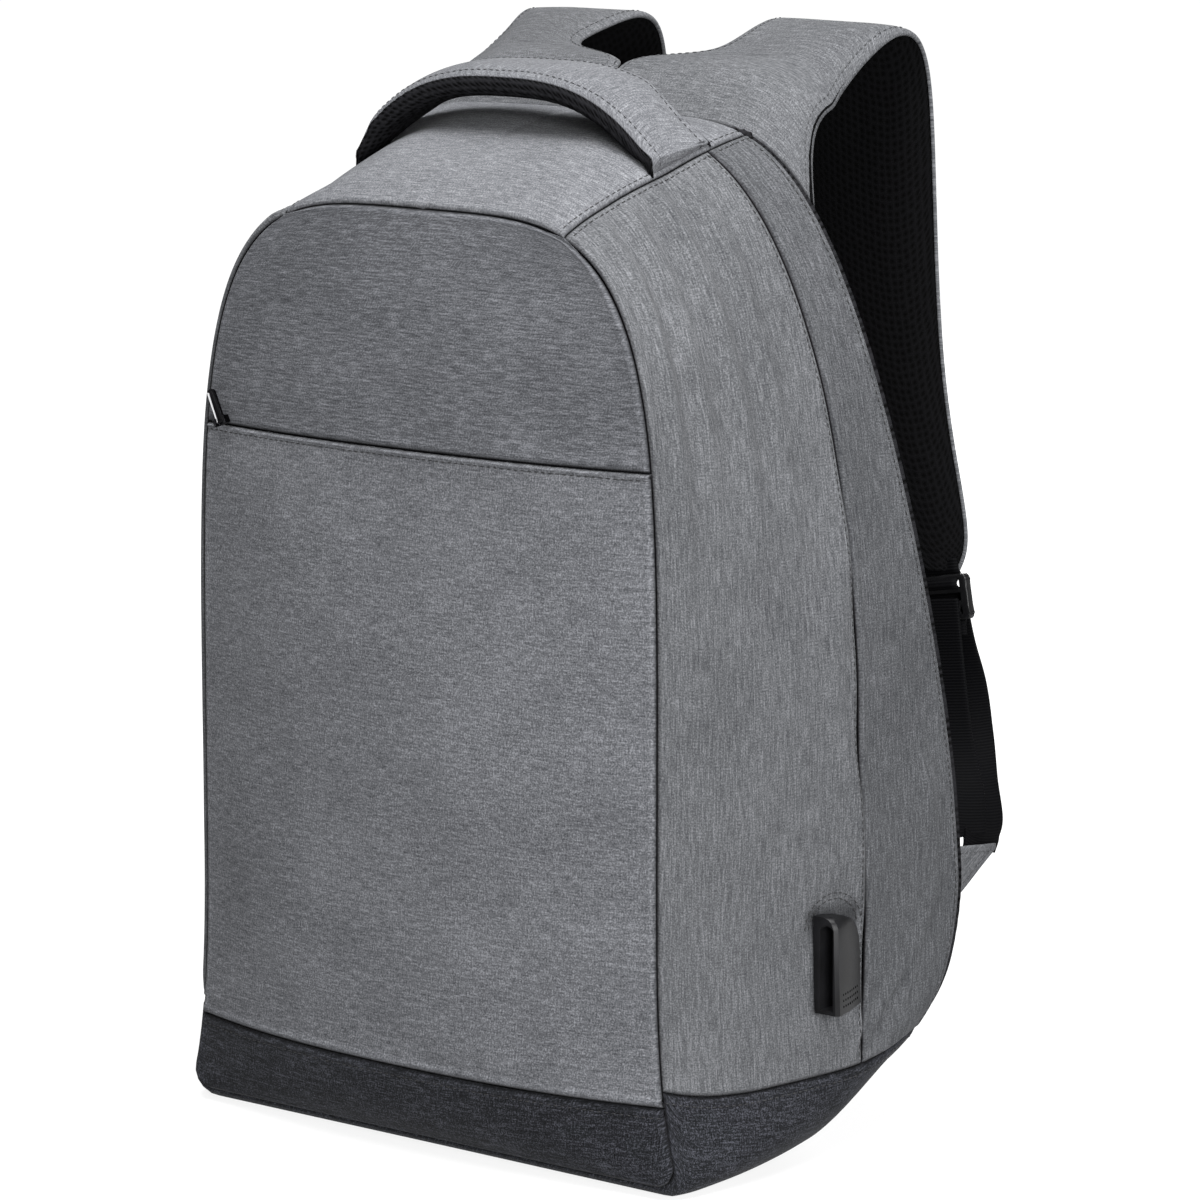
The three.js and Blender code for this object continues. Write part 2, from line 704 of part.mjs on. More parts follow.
function handleFrame(t) {
  const x = HANDLE_HALF * (2 * t - 1);
  const share = Math.abs(2 * t - 1);
  const z = handleFoot + HANDLE_ARCH * (1 - share ** HANDLE_BOW);
  const slope = (-HANDLE_ARCH * HANDLE_BOW * share ** (HANDLE_BOW - 1) * Math.sign(2 * t - 1)) / HANDLE_HALF;
  const up = vector(-slope, 0, 1).normalize();
  const full = clamp01((1 - share) / HANDLE_TAPER);
  const pad = mix(HANDLE_END_PAD, HANDLE_PAD, full * (2 - full));
  const tilt = mix(degrees(HANDLE_TILT), endTilt, share ** 2);
  const across = vector(0, Math.cos(tilt), Math.sin(tilt));
  return { centre: vector(x, -HANDLE_REACH, z), across, up, pad };
}

const COVER_SIDES = [-1, -0.7, 0, 0.7, 1];
const PAD_INSET = 1;
const PAD_SQUARE = 0.4;

// How far the top of the handle bows up across its width.
function handleCrown(side) {
  return HANDLE_CROWN * (1 - side * side);
}

const HANDLE_STEPS = [0, 0.03, 0.07, 0.12, 0.18, 0.26, 0.35, 0.45, 0.55, 0.65, 0.74, 0.82, 0.88, 0.93, 0.97, 1];
const padLoops = HANDLE_STEPS.map((t) => {
  const { centre, across, up, pad } = handleFrame(t);
  const loop = [];
  for (const turn of steps(8)) {
    const angle = Math.PI * (1 + turn);
    const side = (HANDLE_WIDTH / 2 - PAD_INSET) * Math.cos(angle);
    const low = pad * Math.abs(Math.sin(angle)) ** PAD_SQUARE;
    loop.push(centre.clone().addScaledVector(across, side).addScaledVector(up, -low));
  }
  for (const side of [...COVER_SIDES].reverse().slice(1, -1)) {
    const place = (side * HANDLE_WIDTH) / 2;
    loop.push(centre.clone().addScaledVector(across, place).addScaledVector(up, handleCrown(side)));
  }
  return loop;
});
add("handle_pad", loft(padLoops), blackMesh);

const coverLayer = (lift) =>
  HANDLE_STEPS.map((t) => {
    const { centre, across, up } = handleFrame(t);
    return COVER_SIDES.map((side) => {
      const place = (side * HANDLE_WIDTH) / 2;
      return centre.clone().addScaledVector(across, place).addScaledVector(up, handleCrown(side) + lift);
    });
  });
add("handle_cover", wallBetween(coverLayer(GAP + HANDLE_COVER), coverLayer(GAP)), greyCloth);

// Shoulder straps.
const STRAP_COLUMNS = [0, 0.15, 0.5, 0.85, 1];

// Height of the top of the back seam over a place across.
function ridgeHeight(x) {
  const { points } = backSection;
  const i = points.findIndex(([px, pz]) => pz > BELLY_HEIGHT && px <= x);
  const share = (points[i - 1][0] - x) / (points[i - 1][0] - points[i][0]);
  return mix(points[i - 1][1], points[i][1], share);
}

function strapPoint(row, column, sign) {
  const middle = row.across * STRAP_SPREAD;
  const x = Math.max(middle + row.wide * STRAP_WIDTH * (column - 0.5), GAP);
  const near = row.fall > 0.001 ? 0 : clamp01((0.9 - row.back) / 0.5);
  const fade = near * near * (3 - 2 * near);
  const ridge = mix(BACK_TOP, ridgeHeight(x), fade);
  const z = ridge + row.rise * STRAP_RISE - row.fall * STRAP_FALL;
  const seam = mix(TOP_REACH, backSurface(ridge, 0), fade);
  return vector(sign * x, seam + row.back * STRAP_REACH, z);
}

const strapRows = smoothRows(STRAP_ROUTE, 36);

function strapGrid(sign) {
  const grid = strapRows.map((row) => STRAP_COLUMNS.map((column) => strapPoint(row, column, sign)));
  const last = grid.length - 1;
  const rowNormals = grid.map((line, i) =>
    line.map((_, j) => {
      const ahead = grid[Math.min(i + 1, last)][j].clone().sub(grid[Math.max(i - 1, 0)][j]);
      const side = line[line.length - 1].clone().sub(line[0]);
      return ahead.cross(side).normalize().multiplyScalar(-sign);
    }),
  );
  const normals = rowNormals.map((line, i) =>
    line.map((_, j) => {
      const near = rowNormals.slice(Math.max(i - 2, 0), i + 3);
      return near.reduce((sum, row) => sum.add(row[j]), vector(0, 0, 0)).normalize();
    }),
  );
  return { grid, normals };
}

function strapLayer({ grid, normals }, depth, inset, sign) {
  return grid.map((line, i) => {
    const side = line[line.length - 1].clone().sub(line[0]).normalize();
    return line.map((start, j) => {
      const draw = inset * (1 - 2 * STRAP_COLUMNS[j]);
      const point = start.clone().addScaledVector(normals[i][j], -depth).addScaledVector(side, draw);
      point.x = sign * Math.max(sign * point.x, GAP + inset);
      return point;
    });
  });
}

for (const [sideName, sign] of [["right", 1], ["left", -1]]) {
  const grid = strapGrid(sign);
  const padTop = STRAP_COVER + GAP;
  add(
    `strap_cover_${sideName}`,
    wallBetween(strapLayer(grid, 0, 0, sign), strapLayer(grid, STRAP_COVER, 0, sign)),
    greyCloth,
  );
  add(
    `strap_pad_${sideName}`,
    wallBetween(
      strapLayer(grid, padTop, STRAP_BINDING, sign),
      strapLayer(grid, padTop + STRAP_PAD, STRAP_BINDING, sign),
    ),
    blackMesh,
  );
}

// Ladder locks, webbing, loose tails and side tabs.
const lowEnd = strapRows[strapRows.length - 1];
const lockX = lowEnd.across * STRAP_SPREAD + LOCK_SHIFT;
const lockY = TOP_REACH + lowEnd.back * STRAP_REACH - STRAP_COVER - STRAP_PAD / 2;
const strapEdgeX = lowEnd.across * STRAP_SPREAD + (lowEnd.wide * STRAP_WIDTH) / 2;
const lockLean = degrees(LOCK_LEAN);
const lockDrop = LOCK_HEIGHT / 2 / Math.cos(lockLean) + (strapEdgeX - lockX) * Math.tan(lockLean);
const lockZ = BACK_TOP - STRAP_FALL - GAP - lockDrop;

function roundedRect(target, width, height, radius) {
  const x = width / 2;
  const y = height / 2;
  target.moveTo(-x + radius, -y);
  target.lineTo(x - radius, -y);
  target.absarc(x - radius, -y + radius, radius, -Math.PI / 2, 0);
  target.lineTo(x, y - radius);
  target.absarc(x - radius, y - radius, radius, 0, Math.PI / 2);
  target.lineTo(-x + radius, y);
  target.absarc(-x + radius, y - radius, radius, Math.PI / 2, Math.PI);
  target.lineTo(-x, -y + radius);
  target.absarc(-x + radius, -y + radius, radius, Math.PI, Math.PI * 1.5);
  return target;
}

function slot(width, height, centre) {
  const path = new THREE.Path();
  path.moveTo(-width / 2, centre - height / 2);
  path.lineTo(-width / 2, centre + height / 2);
  path.lineTo(width / 2, centre + height / 2);
  path.lineTo(width / 2, centre - height / 2);
  path.lineTo(-width / 2, centre - height / 2);
  return path;
}

function lockGeometry() {
  const shape = roundedRect(new THREE.Shape(), LOCK_WIDTH, LOCK_HEIGHT, 2.5);
  const slotWidth = WEBBING_WIDTH + 1;
  const bar = (LOCK_HEIGHT - 3 * LOCK_SLOT) / 4;
  const pitch = LOCK_SLOT + bar;
  for (const place of [-1, 0, 1]) shape.holes.push(slot(slotWidth, LOCK_SLOT, place * pitch));
  const geometry = new THREE.ExtrudeGeometry(shape, {
    depth: LOCK_WALL,
    bevelEnabled: false,
    curveSegments: 3,
  });
  geometry.translate(0, 0, -LOCK_WALL / 2);
  geometry.rotateX(Math.PI / 2);
  return geometryOf(solidFrom(geometry));
}

// Ribbon through rows that hold a centre, a turn about the upright axis and a tip of its width.
function ribbon(rows) {
  const loops = rows.map((row, i) => {
    const ahead = rows[Math.min(i + 1, rows.length - 1)].centre.clone();
    ahead.sub(rows[Math.max(i - 1, 0)].centre).normalize();
    const turn = degrees(row.turn);
    const tip = degrees(row.tip);
    const wide = vector(row.sign * Math.cos(turn) * Math.cos(tip), Math.sin(turn) * Math.cos(tip), Math.sin(tip));
    wide.addScaledVector(ahead, -0.85 * wide.dot(ahead)).normalize();
    const thick = wide.clone().cross(ahead).normalize();
    const corner = (a, b) =>
      row.centre
        .clone()
        .addScaledVector(wide, (a * WEBBING_WIDTH) / 2)
        .addScaledVector(thick, (b * WEBBING_WALL) / 2);
    return [corner(-1, -1), corner(1, -1), corner(1, 1), corner(-1, 1)];
  });
  return loft(loops);
}

const tabSeat = lengthAtHeight(1, TAB_CENTRE);
const [tabX] = alongSection(1, tabSeat);
const tabBase = backSurface(TAB_CENTRE, 1) + GAP + EDGE_WALL;
const tabTip = tabBase + TAB_REACH;
const webbingEnd = vector(tabX - WEBBING_INSET, tabBase + TAB_REACH * WEBBING_ON_TAB, TAB_CENTRE + WEBBING_LIFT);

function webbingRows(route, start, sign) {
  return smoothRows(route, 18).map((row) => ({
    centre: vector(
      sign * mix(start.x, webbingEnd.x, row.out),
      start.y + row.back * (start.y - webbingEnd.y),
      mix(start.z, webbingEnd.z, row.down),
    ),
    turn: row.turn,
    tip: row.tip,
    sign,
  }));
}

for (const [sideName, sign] of [["right", 1], ["left", -1]]) {
  const lock = add(`ladder_lock_${sideName}`, lockGeometry(), blackPlastic);
  lock.position.set(sign * lockX, lockY, lockZ);
  lock.rotation.y = -sign * lockLean;
  const face = LOCK_WALL / 2 + GAP + WEBBING_WALL / 2;
  const behind = vector(lockX, lockY + face, lockZ);
  const before = vector(lockX, lockY - face, lockZ);
  add(`webbing_${sideName}`, ribbon(webbingRows(WEBBING_ROUTE, behind, sign)), blackWebbing);
  add(`webbing_tail_${sideName}`, ribbon(webbingRows(TAIL_ROUTE, before, sign)), blackWebbing);

  const shape = new THREE.Shape();
  shape.moveTo(tabBase, TAB_CENTRE + TAB_HEIGHT / 2);
  shape.lineTo(tabBase, TAB_CENTRE - TAB_HEIGHT / 2);
  shape.lineTo(tabTip, TAB_CENTRE + TAB_HEIGHT / 4);
  shape.lineTo(tabTip - TAB_BLUNT, TAB_CENTRE + TAB_HEIGHT / 3);
  shape.lineTo(tabBase, TAB_CENTRE + TAB_HEIGHT / 2);
  const tab = new THREE.ExtrudeGeometry(shape, { depth: TAB_WALL, bevelEnabled: false });
  const turnUpright = new THREE.Matrix4().makeBasis(vector(0, 1, 0), vector(0, 0, 1), vector(1, 0, 0));
  tab.applyMatrix4(turnUpright);
  const inner = webbingEnd.x - WEBBING_WALL / 2 - GAP - TAB_WALL;
  tab.translate(inner, 0, 0);
  if (sign < 0) tab.translate(-2 * inner - TAB_WALL, 0, 0);
  add(`strap_tab_${sideName}`, geometryOf(solidFrom(tab)), greyCloth);
}

// Zip slider with two ears, and the pull that swings between them.
const sliderX = FRONT_HALF - SLIDER_INSET;
const sliderShare = (1 - sliderX / levelEdge(HEM_HEIGHT, 0)(1).x) / 2;
const sliderSeat =
  -FRONT_REACH - GAP - EDGE_WALL - frontPuff(vector(0, 0, HEM_HEIGHT), sliderShare + 0.01) - GAP;
const pivotY = sliderSeat - SLIDER_WALL - GAP - PULL_WALL / 2;
const sliderWidth = PULL_WIDTH + 2 * (GAP + EAR_WALL);

function sliderGeometry() {
  const shape = new THREE.Shape();
  const half = sliderWidth / 2;
  const gapHalf = PULL_WIDTH / 2 + GAP;
  shape.moveTo(-half, 0);
  shape.lineTo(half, 0);
  shape.lineTo(half, SLIDER_WALL + EAR_HEIGHT);
  shape.lineTo(gapHalf, SLIDER_WALL + EAR_HEIGHT);
  shape.lineTo(gapHalf, SLIDER_WALL);
  shape.lineTo(-gapHalf, SLIDER_WALL);
  shape.lineTo(-gapHalf, SLIDER_WALL + EAR_HEIGHT);
  shape.lineTo(-half, SLIDER_WALL + EAR_HEIGHT);
  shape.lineTo(-half, 0);
  const geometry = new THREE.ExtrudeGeometry(shape, { depth: SLIDER_LENGTH / 2, bevelEnabled: false });
  geometry.translate(0, 0, -SLIDER_LENGTH / 4);
  geometry.rotateX(Math.PI);
  return geometry;
}

function pullGeometry() {
  const shape = new THREE.Shape();
  const half = PULL_WIDTH / 2;
  const root = PULL_WALL / 2;
  shape.moveTo(-half, -root);
  shape.lineTo(half, -root);
  shape.lineTo(half, PULL_LENGTH - half);
  shape.absarc(0, PULL_LENGTH - half, half, 0, Math.PI);
  shape.lineTo(-half, -root);
  const geometry = new THREE.ExtrudeGeometry(shape, { depth: PULL_WALL, bevelEnabled: false, curveSegments: 6 });
  geometry.translate(0, 0, -PULL_WALL / 2);
  geometry.rotateX(Math.PI / 2);
  return geometry;
}

const zipPivot = vector(-sliderX, pivotY, HEM_HEIGHT + ZIP_WIDTH / 2);
const slider = add("zip_slider", geometryOf(solidFrom(sliderGeometry())), darkMetal);
slider.position.set(zipPivot.x, sliderSeat, zipPivot.z);
slider.rotation.y = -degrees(PULL_LEAN);
const pull = add("zip_pull", geometryOf(solidFrom(pullGeometry())), darkMetal);
pull.position.copy(zipPivot);
pull.rotation.y = -degrees(PULL_LEAN);

// Charging port: a wedge that stands proud at its front, with a round-topped recess there.
function sideX(y, z) {
  const back = backSurface(z, 1);
  const depth = (y + FRONT_REACH) / (back + FRONT_REACH);
  return alongSection(depth, lengthAtHeight(depth, z))[0];
}

function portHousing() {
  const rear = PORT_FRONT + PORT_LENGTH;
  const heights = [0, 0.2, 0.4, 0.58, 0.7, 0.8, 0.88, 0.94, 0.98, 1];
  const loops = heights.map((share) => {
    const z = PORT_LOW + PORT_HEIGHT * share;
    const fromTop = PORT_HEIGHT * (1 - share);
    const dome = clamp01(fromTop / PORT_DOME);
    const keep = mix(0.18, 1, Math.sqrt(1 - (1 - dome) ** 2));
    const end = mix(PORT_FRONT, rear, keep);
    const crown = Math.sqrt(1 - (1 - clamp01(fromTop / PORT_CROWN)) ** 2);
    const proudFront = PORT_PROUD * mix(0.55, 1, crown);
    const proudEnd = mix(proudFront, PORT_REAR_PROUD, keep);
    const loop = [];
    for (const t of steps(3)) {
      const y = mix(PORT_FRONT, end, t);
      loop.push(vector(sideX(y, z) + GAP, y, z));
    }
    const start = sideX(PORT_FRONT, z) + GAP;
    const stop = sideX(end, z) + GAP;
    loop.push(vector(stop + proudEnd, end, z));
    const bow = PORT_SOFTEN / 2;
    loop.push(vector(mix(start + proudFront, stop + proudEnd, 0.5) + bow, mix(PORT_FRONT, end, 0.5), z));
    loop.push(vector(start + proudFront, PORT_FRONT + PORT_SOFTEN, z));
    loop.push(vector(start + proudFront - PORT_SOFTEN, PORT_FRONT, z));
    return loop;
  });
  return solidFrom(loft(loops));
}

function portRecess() {
  const low = PORT_LOW + PORT_RIM;
  const middle = PORT_LOW + PORT_HEIGHT / 2;
  const swell = sideX(PORT_FRONT + PORT_RECESS, middle) - sideX(PORT_FRONT, middle);
  const start = sideX(PORT_FRONT, middle) + swell + GAP + PORT_RIM;
  const width = PORT_PROUD - swell - 2 * PORT_RIM;
  const high = PORT_LOW + PORT_HEIGHT - PORT_RIM - 2 - width / 2;
  const shape = new THREE.Shape();
  shape.moveTo(start, low);
  shape.lineTo(start + width, low);
  shape.lineTo(start + width, high);
  shape.absarc(start + width / 2, high, width / 2, 0, Math.PI);
  shape.lineTo(start, low);
  const geometry = new THREE.ExtrudeGeometry(shape, {
    depth: PORT_RECESS + 1,
    bevelEnabled: false,
    curveSegments: 8,
  });
  geometry.rotateX(Math.PI / 2);
  geometry.translate(0, PORT_FRONT + PORT_RECESS, 0);
  const narrowing = ((PORT_PROUD - PORT_REAR_PROUD) * (PORT_RECESS + 1)) / PORT_LENGTH;
  const plan = new THREE.Shape();
  plan.moveTo(start - 1, PORT_FRONT - 1);
  plan.lineTo(start + width, PORT_FRONT - 1);
  plan.lineTo(start + width - narrowing, PORT_FRONT + PORT_RECESS);
  plan.lineTo(start - 1, PORT_FRONT + PORT_RECESS);
  plan.lineTo(start - 1, PORT_FRONT - 1);
  const wedge = new THREE.ExtrudeGeometry(plan, { depth: PORT_HEIGHT, bevelEnabled: false });
  wedge.translate(0, 0, PORT_LOW);
  return solidFrom(geometry).intersect(solidFrom(wedge));
}
add("usb_port", geometryOf(portHousing().subtract(portRecess())), blackPlastic);

export default backpack;
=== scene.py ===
"""A laptop backpack in heather grey cloth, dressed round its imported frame.

Sizes are millimetres in the classes and become metres as a piece's mesh is written. The bag stands on
its flat base, its front faces -Y, and +X is to the right seen from the front.
"""

import bisect
import json
import logging
import math
from dataclasses import dataclass, field
from enum import Enum
from typing import Callable, Iterable, Sequence

import bmesh
import bpy
import numpy as np
from mathutils import Matrix, Vector, noise
from mathutils.bvhtree import BVHTree


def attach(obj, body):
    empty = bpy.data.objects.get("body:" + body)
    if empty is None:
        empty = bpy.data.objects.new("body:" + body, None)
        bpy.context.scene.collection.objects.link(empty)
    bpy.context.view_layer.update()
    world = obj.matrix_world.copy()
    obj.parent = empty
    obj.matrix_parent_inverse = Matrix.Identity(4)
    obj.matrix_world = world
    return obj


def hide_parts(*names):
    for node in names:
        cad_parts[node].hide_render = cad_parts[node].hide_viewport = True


LOG = logging.getLogger("backpack")
MM = 0.001
PORT_FRONT = -1.0
PORT_LENGTH = 26.0
PORT_LOW = 67.5
PORT_HEIGHT = 42.0

Line = Callable[[float], np.ndarray]
Face = Callable[[float, float], np.ndarray]

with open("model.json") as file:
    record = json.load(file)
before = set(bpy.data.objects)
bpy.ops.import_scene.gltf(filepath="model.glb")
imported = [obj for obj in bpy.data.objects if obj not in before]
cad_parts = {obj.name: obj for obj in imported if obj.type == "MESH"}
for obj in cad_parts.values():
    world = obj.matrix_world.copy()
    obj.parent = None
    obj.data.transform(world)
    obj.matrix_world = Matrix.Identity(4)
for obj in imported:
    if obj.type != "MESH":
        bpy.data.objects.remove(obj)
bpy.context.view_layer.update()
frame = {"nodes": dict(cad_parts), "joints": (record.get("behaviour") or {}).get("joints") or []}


class Side(Enum):
    """Which side of the bag a piece is on, seen from the front."""

    RIGHT = 1
    LEFT = -1

    @property
    def word(self) -> str:
        """The side's name, as piece names end."""
        return self.name.lower()


class Stretch(Enum):
    """The three stretches of cloth round the body."""

    BASE = "base"
    SIDE = "side"
    TOP = "top"


class Edge(Enum):
    """The edges of a sheet: which of its two directions leaves an edge, and whether it is the far one."""

    START_U = (0, False)
    END_U = (0, True)
    START_V = (1, False)
    END_V = (1, True)


def mix(a: float, b: float, share: float) -> float:
    """The value a share of the way from a to b."""
    return a + (b - a) * share


def clamp01(value: float) -> float:
    """The value held between 0 and 1."""
    return min(1.0, max(0.0, value))


def smooth01(value: float | np.ndarray) -> float | np.ndarray:
    """A soft step from 0 to 1, for a number or an array."""
    held = np.clip(value, 0.0, 1.0)
    return held * held * (3 - 2 * held)


class Curve:
    """A smooth curve through a short table, which never overshoots its rows."""

    def __init__(self, places: Sequence[float], values: Sequence[float]) -> None:
        """Keeps the rows and works out a slope at each.

        Args:
            places: where each row is, rising.
            values: the value at each row.
        """
        self.places = list(places)
        self.values = list(values)
        steps = range(len(places) - 1)
        rise = [(values[i + 1] - values[i]) / (places[i + 1] - places[i]) for i in steps]
        slopes = [rise[0]]
        for before, after in zip(rise, rise[1:]):
            level = before * after <= 0
            slopes.append(0.0 if level else 2 * before * after / (before + after))
        self.slopes = [*slopes, rise[-1]]

    def __call__(self, place: float) -> float:
        """The value at a place.

        Args:
            place: a place along the table, held to its ends.

        Returns:
            The smooth value there.
        """
        held = min(max(place, self.places[0]), self.places[-1])
        i = min(max(bisect.bisect_right(self.places, held) - 1, 0), len(self.places) - 2)
        width = self.places[i + 1] - self.places[i]
        t = (held - self.places[i]) / width
        low = self.values[i] * (1 + 2 * t) * (1 - t) ** 2 + self.slopes[i] * width * t * (1 - t) ** 2
        high = self.values[i + 1] * t * t * (3 - 2 * t) + self.slopes[i + 1] * width * t * t * (t - 1)
        return low + high


@dataclass
class BodyForm:
    """The bag's body: one family of outlines that grows from the front seam to the back seam."""

    gap: float = 0.35
    front_half: float = 125.3
    back_half: float = 156.0
    front_top: float = 406.0
    back_top: float = 440.0
    front_reach: float = 80.0
    hip_reach: float = 97.0
    hip_height: float = 110.0
    top_reach: float = 28.0
    heel_side: float = 70.0
    heel_middle: float = 40.0
    belly_height: float = 151.0
    front_foot: float = 5.0
    back_foot: float = 10.0
    front_corner: float = 10.0
    back_corner: float = 64.0
    flare: float = 12.0
    flat_depth: float = 0.66
    band_low: float = 39.5
    band_lift: float = 7.0
    shoulder_front: float = 76.0
    shoulder_back: float = 88.0
    front_puff: float = 17.0
    edge_wall: float = 1.6
    slump: float = 6.5
    levels: int = 240
    floor_steps: int = 24
    corner_steps: int = 30
    side_steps: int = 24
    crown_steps: int = 160
    square: Curve = Curve((0, 0.1, 0.25, 0.5, 0.75, 1), (4.1, 4.4, 4.5, 4.5, 5, 6))
    flat: Curve = Curve((0, 0.1, 0.25, 0.5, 0.75, 1), (4.5, 2.9, 1.95, 1.52, 1.42, 1.5))
    climb: Curve = Curve((0, 0.07, 0.16, 0.3, 0.6, 0.78, 0.9, 1), (1, 0.55, 0.2, 0, 0, 0.2, 0.6, 1))
    side_seam: Curve = Curve(
        (0, 0.06, 0.14, 0.3, 0.45, 0.6, 0.75, 0.88, 1),
        (0.695, 0.65, 0.63, 0.633, 0.685, 0.735, 0.775, 0.785, 0.78),
    )
    front_rise: Curve = Curve(
        (0.012, 0.03, 0.06, 0.1, 0.35, 0.6, 0.755, 0.87, 0.95, 1),
        (0, 0.42, 0.8, 1, 1, 0.86, 0.68, 0.42, 0.18, 0),
    )
    sections: dict = field(default_factory=dict)

    def back_surface(self, height: float, side_share: float) -> float:
        """How far behind the origin the back seam lies.

        Args:
            height: the height in millimetres.
            side_share: 0 in the middle of the bag and 1 at its side.

        Returns:
            The distance in millimetres.
        """
        if height < self.hip_height:
            heel = mix(self.heel_middle, self.heel_side, clamp01(side_share) ** 2)
            return self.hip_reach - heel * (1 - height / self.hip_height) ** 2
        rise = (height - self.hip_height) / (self.back_top - self.hip_height)
        return self.hip_reach - (self.hip_reach - self.top_reach) * rise**1.25

    def outline(self, depth: float) -> list[tuple[float, float]]:
        """Half outline at one depth, from the middle of the bottom to the middle of the top.

        Args:
            depth: 0 at the front seam, 1 at the back seam.

        Returns:
            Pairs of distance across and height.
        """
        growth = math.sin(math.pi / 2 * depth**0.85)
        half = mix(self.front_half, self.back_half, growth)
        top = mix(self.front_top, self.back_top, growth)
        shoulder = 2 / self.square(depth)
        crown = 2 / self.flat(depth)
        front_lift = self.front_foot * clamp01(1 - depth / 0.06) ** 2
        middle_lift = self.back_foot * 0.3 * clamp01((depth - 0.88) / 0.12) ** 2
        foot = front_lift + self.back_foot * float(smooth01((depth - self.flat_depth) / (1 - self.flat_depth)))
        corner = mix(self.front_corner, self.back_corner, depth**1.5)
        flare = self.flare * (1 - depth) ** 2
        corner_top = foot + corner
        belly = self.belly_height

        def side(z: float) -> float:
            """Distance across on the lower side."""
            return half + flare * ((belly - z) / (belly - foot)) ** 4

        floor_half = side(corner_top) - corner
        points = []
        for i in range(self.floor_steps + 1):
            rise = mix(front_lift + middle_lift, foot, (i / self.floor_steps) ** 4)
            points.append((floor_half * i / self.floor_steps, rise))
        for i in range(1, self.corner_steps + 1):
            angle = i / self.corner_steps * math.pi / 2
            points.append((floor_half + corner * math.sin(angle), corner_top - corner * math.cos(angle)))
        for i in range(1, self.side_steps + 1):
            z = mix(corner_top, belly, i / self.side_steps)
            points.append((side(z), z))
        for i in range(1, self.crown_steps + 1):
            angle = math.pi / 2 * (1 - (1 - i / self.crown_steps) ** 2)
            x = half * max(0.0, math.cos(angle)) ** shoulder if i < self.crown_steps else 0.0
            points.append((x, belly + (top - belly) * math.sin(angle) ** crown))
        return points

    def section(self, level: int) -> dict:
        """One level's outline, with its running lengths and the lengths at its seams.

        Args:
            level: the level, from 0 at the front seam.

        Returns:
            Its points, its lengths, and the lengths at the band, the shoulder and the end.
        """
        if level in self.sections:
            return self.sections[level]
        depth = level / self.levels
        points = self.outline(depth)
        lengths = [0.0]
        for (x0, z0), (x1, z1) in zip(points, points[1:]):
            lengths.append(lengths[-1] + math.hypot(x1 - x0, z1 - z0))
        band = self.band_low + self.band_lift * self.climb(depth)
        b = next(i for i, (x, z) in enumerate(points) if i > self.floor_steps and z >= band)
        share = (band - points[b - 1][1]) / (points[b][1] - points[b - 1][1])
        shoulder_x = mix(self.shoulder_front, self.shoulder_back, depth)
        s = next(i for i, (x, z) in enumerate(points) if z > self.belly_height and x <= shoulder_x)
        part = (points[s - 1][0] - shoulder_x) / (points[s - 1][0] - points[s][0])
        made = {
            "points": points,
            "lengths": lengths,
            "band": mix(lengths[b - 1], lengths[b], share),
            "shoulder": mix(lengths[s - 1], lengths[s], part),
            "end": lengths[-1],
        }
        self.sections[level] = made
        return made

    def along(self, level: int, length: float) -> tuple[float, float]:
        """A point of one level's outline.

        Args:
            level: the level.
            length: running length from the middle of the floor.

        Returns:
            Distance across and height.
        """
        made = self.section(level)
        lengths = made["lengths"]
        i = min(max(bisect.bisect_left(lengths, length), 1), len(lengths) - 1)
        share = clamp01((length - lengths[i - 1]) / (lengths[i] - lengths[i - 1]))
        (x0, z0), (x1, z1) = made["points"][i - 1], made["points"][i]
        return mix(x0, x1, share), mix(z0, z1, share)

    def span(self, stretch: Stretch, level: int) -> tuple[float, float]:
        """The running lengths between which a stretch of cloth lies.

        Args:
            stretch: which stretch of cloth.
            level: the level.

        Returns:
            Its first and last length.
        """
        made = self.section(level)
        if stretch is Stretch.BASE:
            return 0.0, made["band"] - self.gap / 2
        if stretch is Stretch.SIDE:
            return made["band"] + self.gap / 2, made["shoulder"] - self.gap / 2
        return made["end"], made["shoulder"] + self.gap / 2

    def cloth(self, stretch: Stretch, share: float, depth: float, sign: int = 1) -> Vector:
        """A point on the body's cloth.

        Args:
            stretch: which stretch of cloth.
            share: share along the stretch, whatever its sign.
            depth: depth share, held between the seams.
            sign: 1 for the right side and -1 for the left.

        Returns:
            The point in millimetres.
        """
        place, last = abs(share), self.levels
        held = clamp01(depth) * last
        level = min(int(held), last - 1)
        x0, z0 = self.along(level, mix(*self.span(stretch, level), place))
        x1, z1 = self.along(level + 1, mix(*self.span(stretch, level + 1), place))
        back = self.back_seam(stretch, place)
        part = held - level
        y = mix(-self.front_reach, back, clamp01(depth))
        point = Vector((sign * mix(x0, x1, part), y, mix(z0, z1, part)))
        point.z -= self.sag(point.x, point.z, clamp01(depth))
        return point

    def back_seam(self, stretch: Stretch, share: float) -> float:
        """How far back the back seam lies at a share along a stretch of cloth."""
        x, z = self.along(self.levels, mix(*self.span(stretch, self.levels), share))
        return self.back_surface(z, x / self.back_half)

    def sag(self, x: float, z: float, depth: float) -> float:
        """How far the half-empty left shoulder hangs under its even shape.

        Args:
            x: place across.
            z: height.
            depth: depth share.

        Returns:
            The drop in millimetres.
        """
        across = float(smooth01((-x - 42) / 40)) * float(smooth01((z - 300) / 70))
        return self.slump * across * float(smooth01(depth / 0.22)) * (1 - float(smooth01((depth - 0.55) / 0.4)))

    def length_at_height(self, level: int, height: float) -> float:
        """The running length at which a level's side reaches a height.

        Args:
            level: the level.
            height: the height.

        Returns:
            The running length.
        """
        made = self.section(level)
        points = made["points"]
        i = next(k for k, (x, z) in enumerate(points) if k > self.floor_steps and z >= height)
        share = (height - points[i - 1][1]) / (points[i][1] - points[i - 1][1])
        return mix(made["lengths"][i - 1], made["lengths"][i], share)

